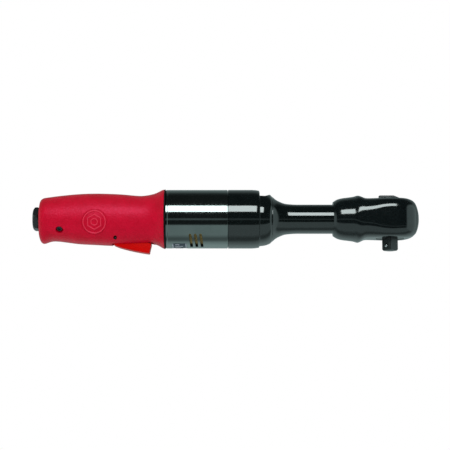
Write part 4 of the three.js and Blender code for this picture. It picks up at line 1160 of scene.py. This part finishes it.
CAMERA_TARGET = Vector((-0.1334, 0, 0.0209))
CAMERA_DISTANCE = 1.2
CAMERA_ELEVATION = -8
FRAME_WIDTH = 0.3645  # what the image spans at the target
SENSOR = 36

FLOOR_Z = -0.30
FLOOR_R = 4.0
BACKGROUND = 1.0
WHITE = (1, 1, 1, 1)
DIFFUSE_LIGHT = 0.78
TINT = (0.76, 1.0, 0.99)

SOFTBOX_ELEVATION = 33.8
SOFTBOX_DISTANCE = 1.1
SOFTBOX_SPAN = 24.2  # degrees of elevation that the tool sees
SOFTBOX_LENGTH = 0.66
SOFTBOX_RADIANCE = 8
STRIP_COLOUR = (0.88, 1.0, 0.99)

FILL_ELEVATION = 24
FILL_AZIMUTH = -8
FILL_DISTANCE = 1.6
FILL_SIZE = 1.2
FILL_RADIANCE = 3.0


def build_camera():
    data = bpy.data.cameras.new("camera")
    data.sensor_width = SENSOR
    data.lens = SENSOR * CAMERA_DISTANCE / FRAME_WIDTH
    camera = bpy.data.objects.new("camera", data)
    bpy.context.scene.collection.objects.link(camera)
    tilt = CAMERA_ELEVATION * DEG
    away = Vector((0, -math.cos(tilt), math.sin(tilt)))
    camera.location = CAMERA_TARGET + away * CAMERA_DISTANCE
    camera.rotation_euler = (-away).to_track_quat("-Z", "Y").to_euler()
    bpy.context.scene.camera = camera


def area_light(name, elevation, azimuth, distance, width, height, radiance):
    """A rectangular light that faces the tool."""
    data = bpy.data.lights.new(name, "AREA")
    data.shape = "RECTANGLE"
    data.size, data.size_y = width, height
    data.energy = radiance * math.pi * width * height
    light = bpy.data.objects.new(name, data)
    bpy.context.scene.collection.objects.link(light)
    level, turn = elevation * DEG, azimuth * DEG
    towards = Vector((math.sin(turn) * math.cos(level), -math.cos(turn) * math.cos(level), math.sin(level)))
    light.location = CAMERA_TARGET + towards * distance
    light.rotation_euler = towards.to_track_quat("Z", "Y").to_euler()
    light.visible_camera = False
    return light


def build_lights():
    height = 2 * SOFTBOX_DISTANCE * math.tan(SOFTBOX_SPAN / 2 * DEG)
    strip = area_light(
        "strip_softbox", SOFTBOX_ELEVATION, 0, SOFTBOX_DISTANCE, SOFTBOX_LENGTH, height, SOFTBOX_RADIANCE,
    )
    strip.data.color = STRIP_COLOUR
    strip.visible_diffuse = False
    fill = area_light(
        "fill", FILL_ELEVATION, FILL_AZIMUTH, FILL_DISTANCE, FILL_SIZE, FILL_SIZE, FILL_RADIANCE,
    )
    fill.visible_glossy = False


def tinted(level):
    return tuple(level * t for t in TINT)


# What polished surfaces mirror, by elevation in degrees: 0 is level in front of the tool, 90 overhead,
# -90 straight down, and 180 level behind. It is dark from -29 to 98 but for a thin lit line from -10 to
# -6; a light floor lies below that, and a lit wall behind.
STUDIO = [
    (-180, 0.36), (-158, 0.55), (-132, 0.80), (-112, 0.62), (-99, 0.26), (-88, 0.24), (-72, 0.53),
    (-32, 0.53), (-29, 0.04), (-12, 0.03), (-10, 0.26), (-6, 0.26), (-4, 0.03), (98, 0.03), (112, 0.07),
    (119, 0.17), (129, 0.27), (141, 0.32), (180, 0.36),
]
SIDE_START, SIDE_END = 0.80, 0.88  # the sideways part of a direction where the light side walls begin
SIDE_WALL = 0.7


def build_world():
    world = bpy.data.worlds.new("studio")
    bpy.context.scene.world = world
    world.use_nodes = True
    tree = world.node_tree
    tree.nodes.clear()

    def node(kind, inputs=None, **settings):
        return add_node(tree, kind, inputs, **settings)

    direction = node("TexCoord").outputs["Generated"]
    parts = node("SeparateXYZ", {"Vector": direction}).outputs
    forward = node("Math", {0: parts["Y"], 1: -1}, operation="MULTIPLY").outputs[0]
    angle = node("Math", {0: parts["Z"], 1: forward}, operation="ARCTAN2").outputs[0]
    spot = node("MapRange", {"Value": angle, "From Min": -math.pi, "From Max": math.pi}).outputs["Result"]
    studio = node("ValToRGB", {"Fac": spot})
    fill_ramp(studio, [((degrees + 180) / 360, tinted(level)) for degrees, level in STUDIO])

    sideways = node("Math", {0: parts["X"]}, operation="ABSOLUTE").outputs[0]
    wall = node("MapRange", {"Value": sideways, "From Min": SIDE_START, "From Max": SIDE_END})
    mirrored = node("Mix", data_type="RGBA", inputs={
        "Factor": wall.outputs["Result"], MIX_A: studio.outputs["Color"], MIX_B: (*tinted(SIDE_WALL), 1),
    })

    rays = node("LightPath").outputs
    polished = node("Background", {"Color": mirrored.outputs[MIX_RESULT]})
    soft = node("Background", {"Color": WHITE, "Strength": DIFFUSE_LIGHT})
    backdrop = node("Background", {"Color": WHITE, "Strength": BACKGROUND})
    lit = node("MixShader", {"Fac": rays["Is Glossy Ray"], 1: soft.outputs[0], 2: polished.outputs[0]})
    seen = node("MixShader", {"Fac": rays["Is Camera Ray"], 1: lit.outputs[0], 2: backdrop.outputs[0]})
    node("OutputWorld", {"Surface": seen.outputs[0]})


def build_floor():
    shell = bmesh.new()
    bmesh.ops.create_circle(shell, cap_ends=True, segments=96, radius=FLOOR_R)
    data = bpy.data.meshes.new("floor")
    shell.to_mesh(data)
    shell.free()
    floor = bpy.data.objects.new("floor", data)
    bpy.context.scene.collection.objects.link(floor)
    floor.location = (CAMERA_TARGET.x, 0, FLOOR_Z)
    surface = Surface("floor", specular=0.1)
    surface.colour(surface.noise(400, 2), (0.3, (0.90, 0.90, 0.90)), (0.7, (0.93, 0.93, 0.93)))
    surface.shader.inputs["Roughness"].default_value = 0.9
    data.materials.append(surface.material)
    floor.visible_glossy = False


build_camera()
build_lights()
build_world()
build_floor()
bpy.context.scene.view_settings.view_transform = "Standard"
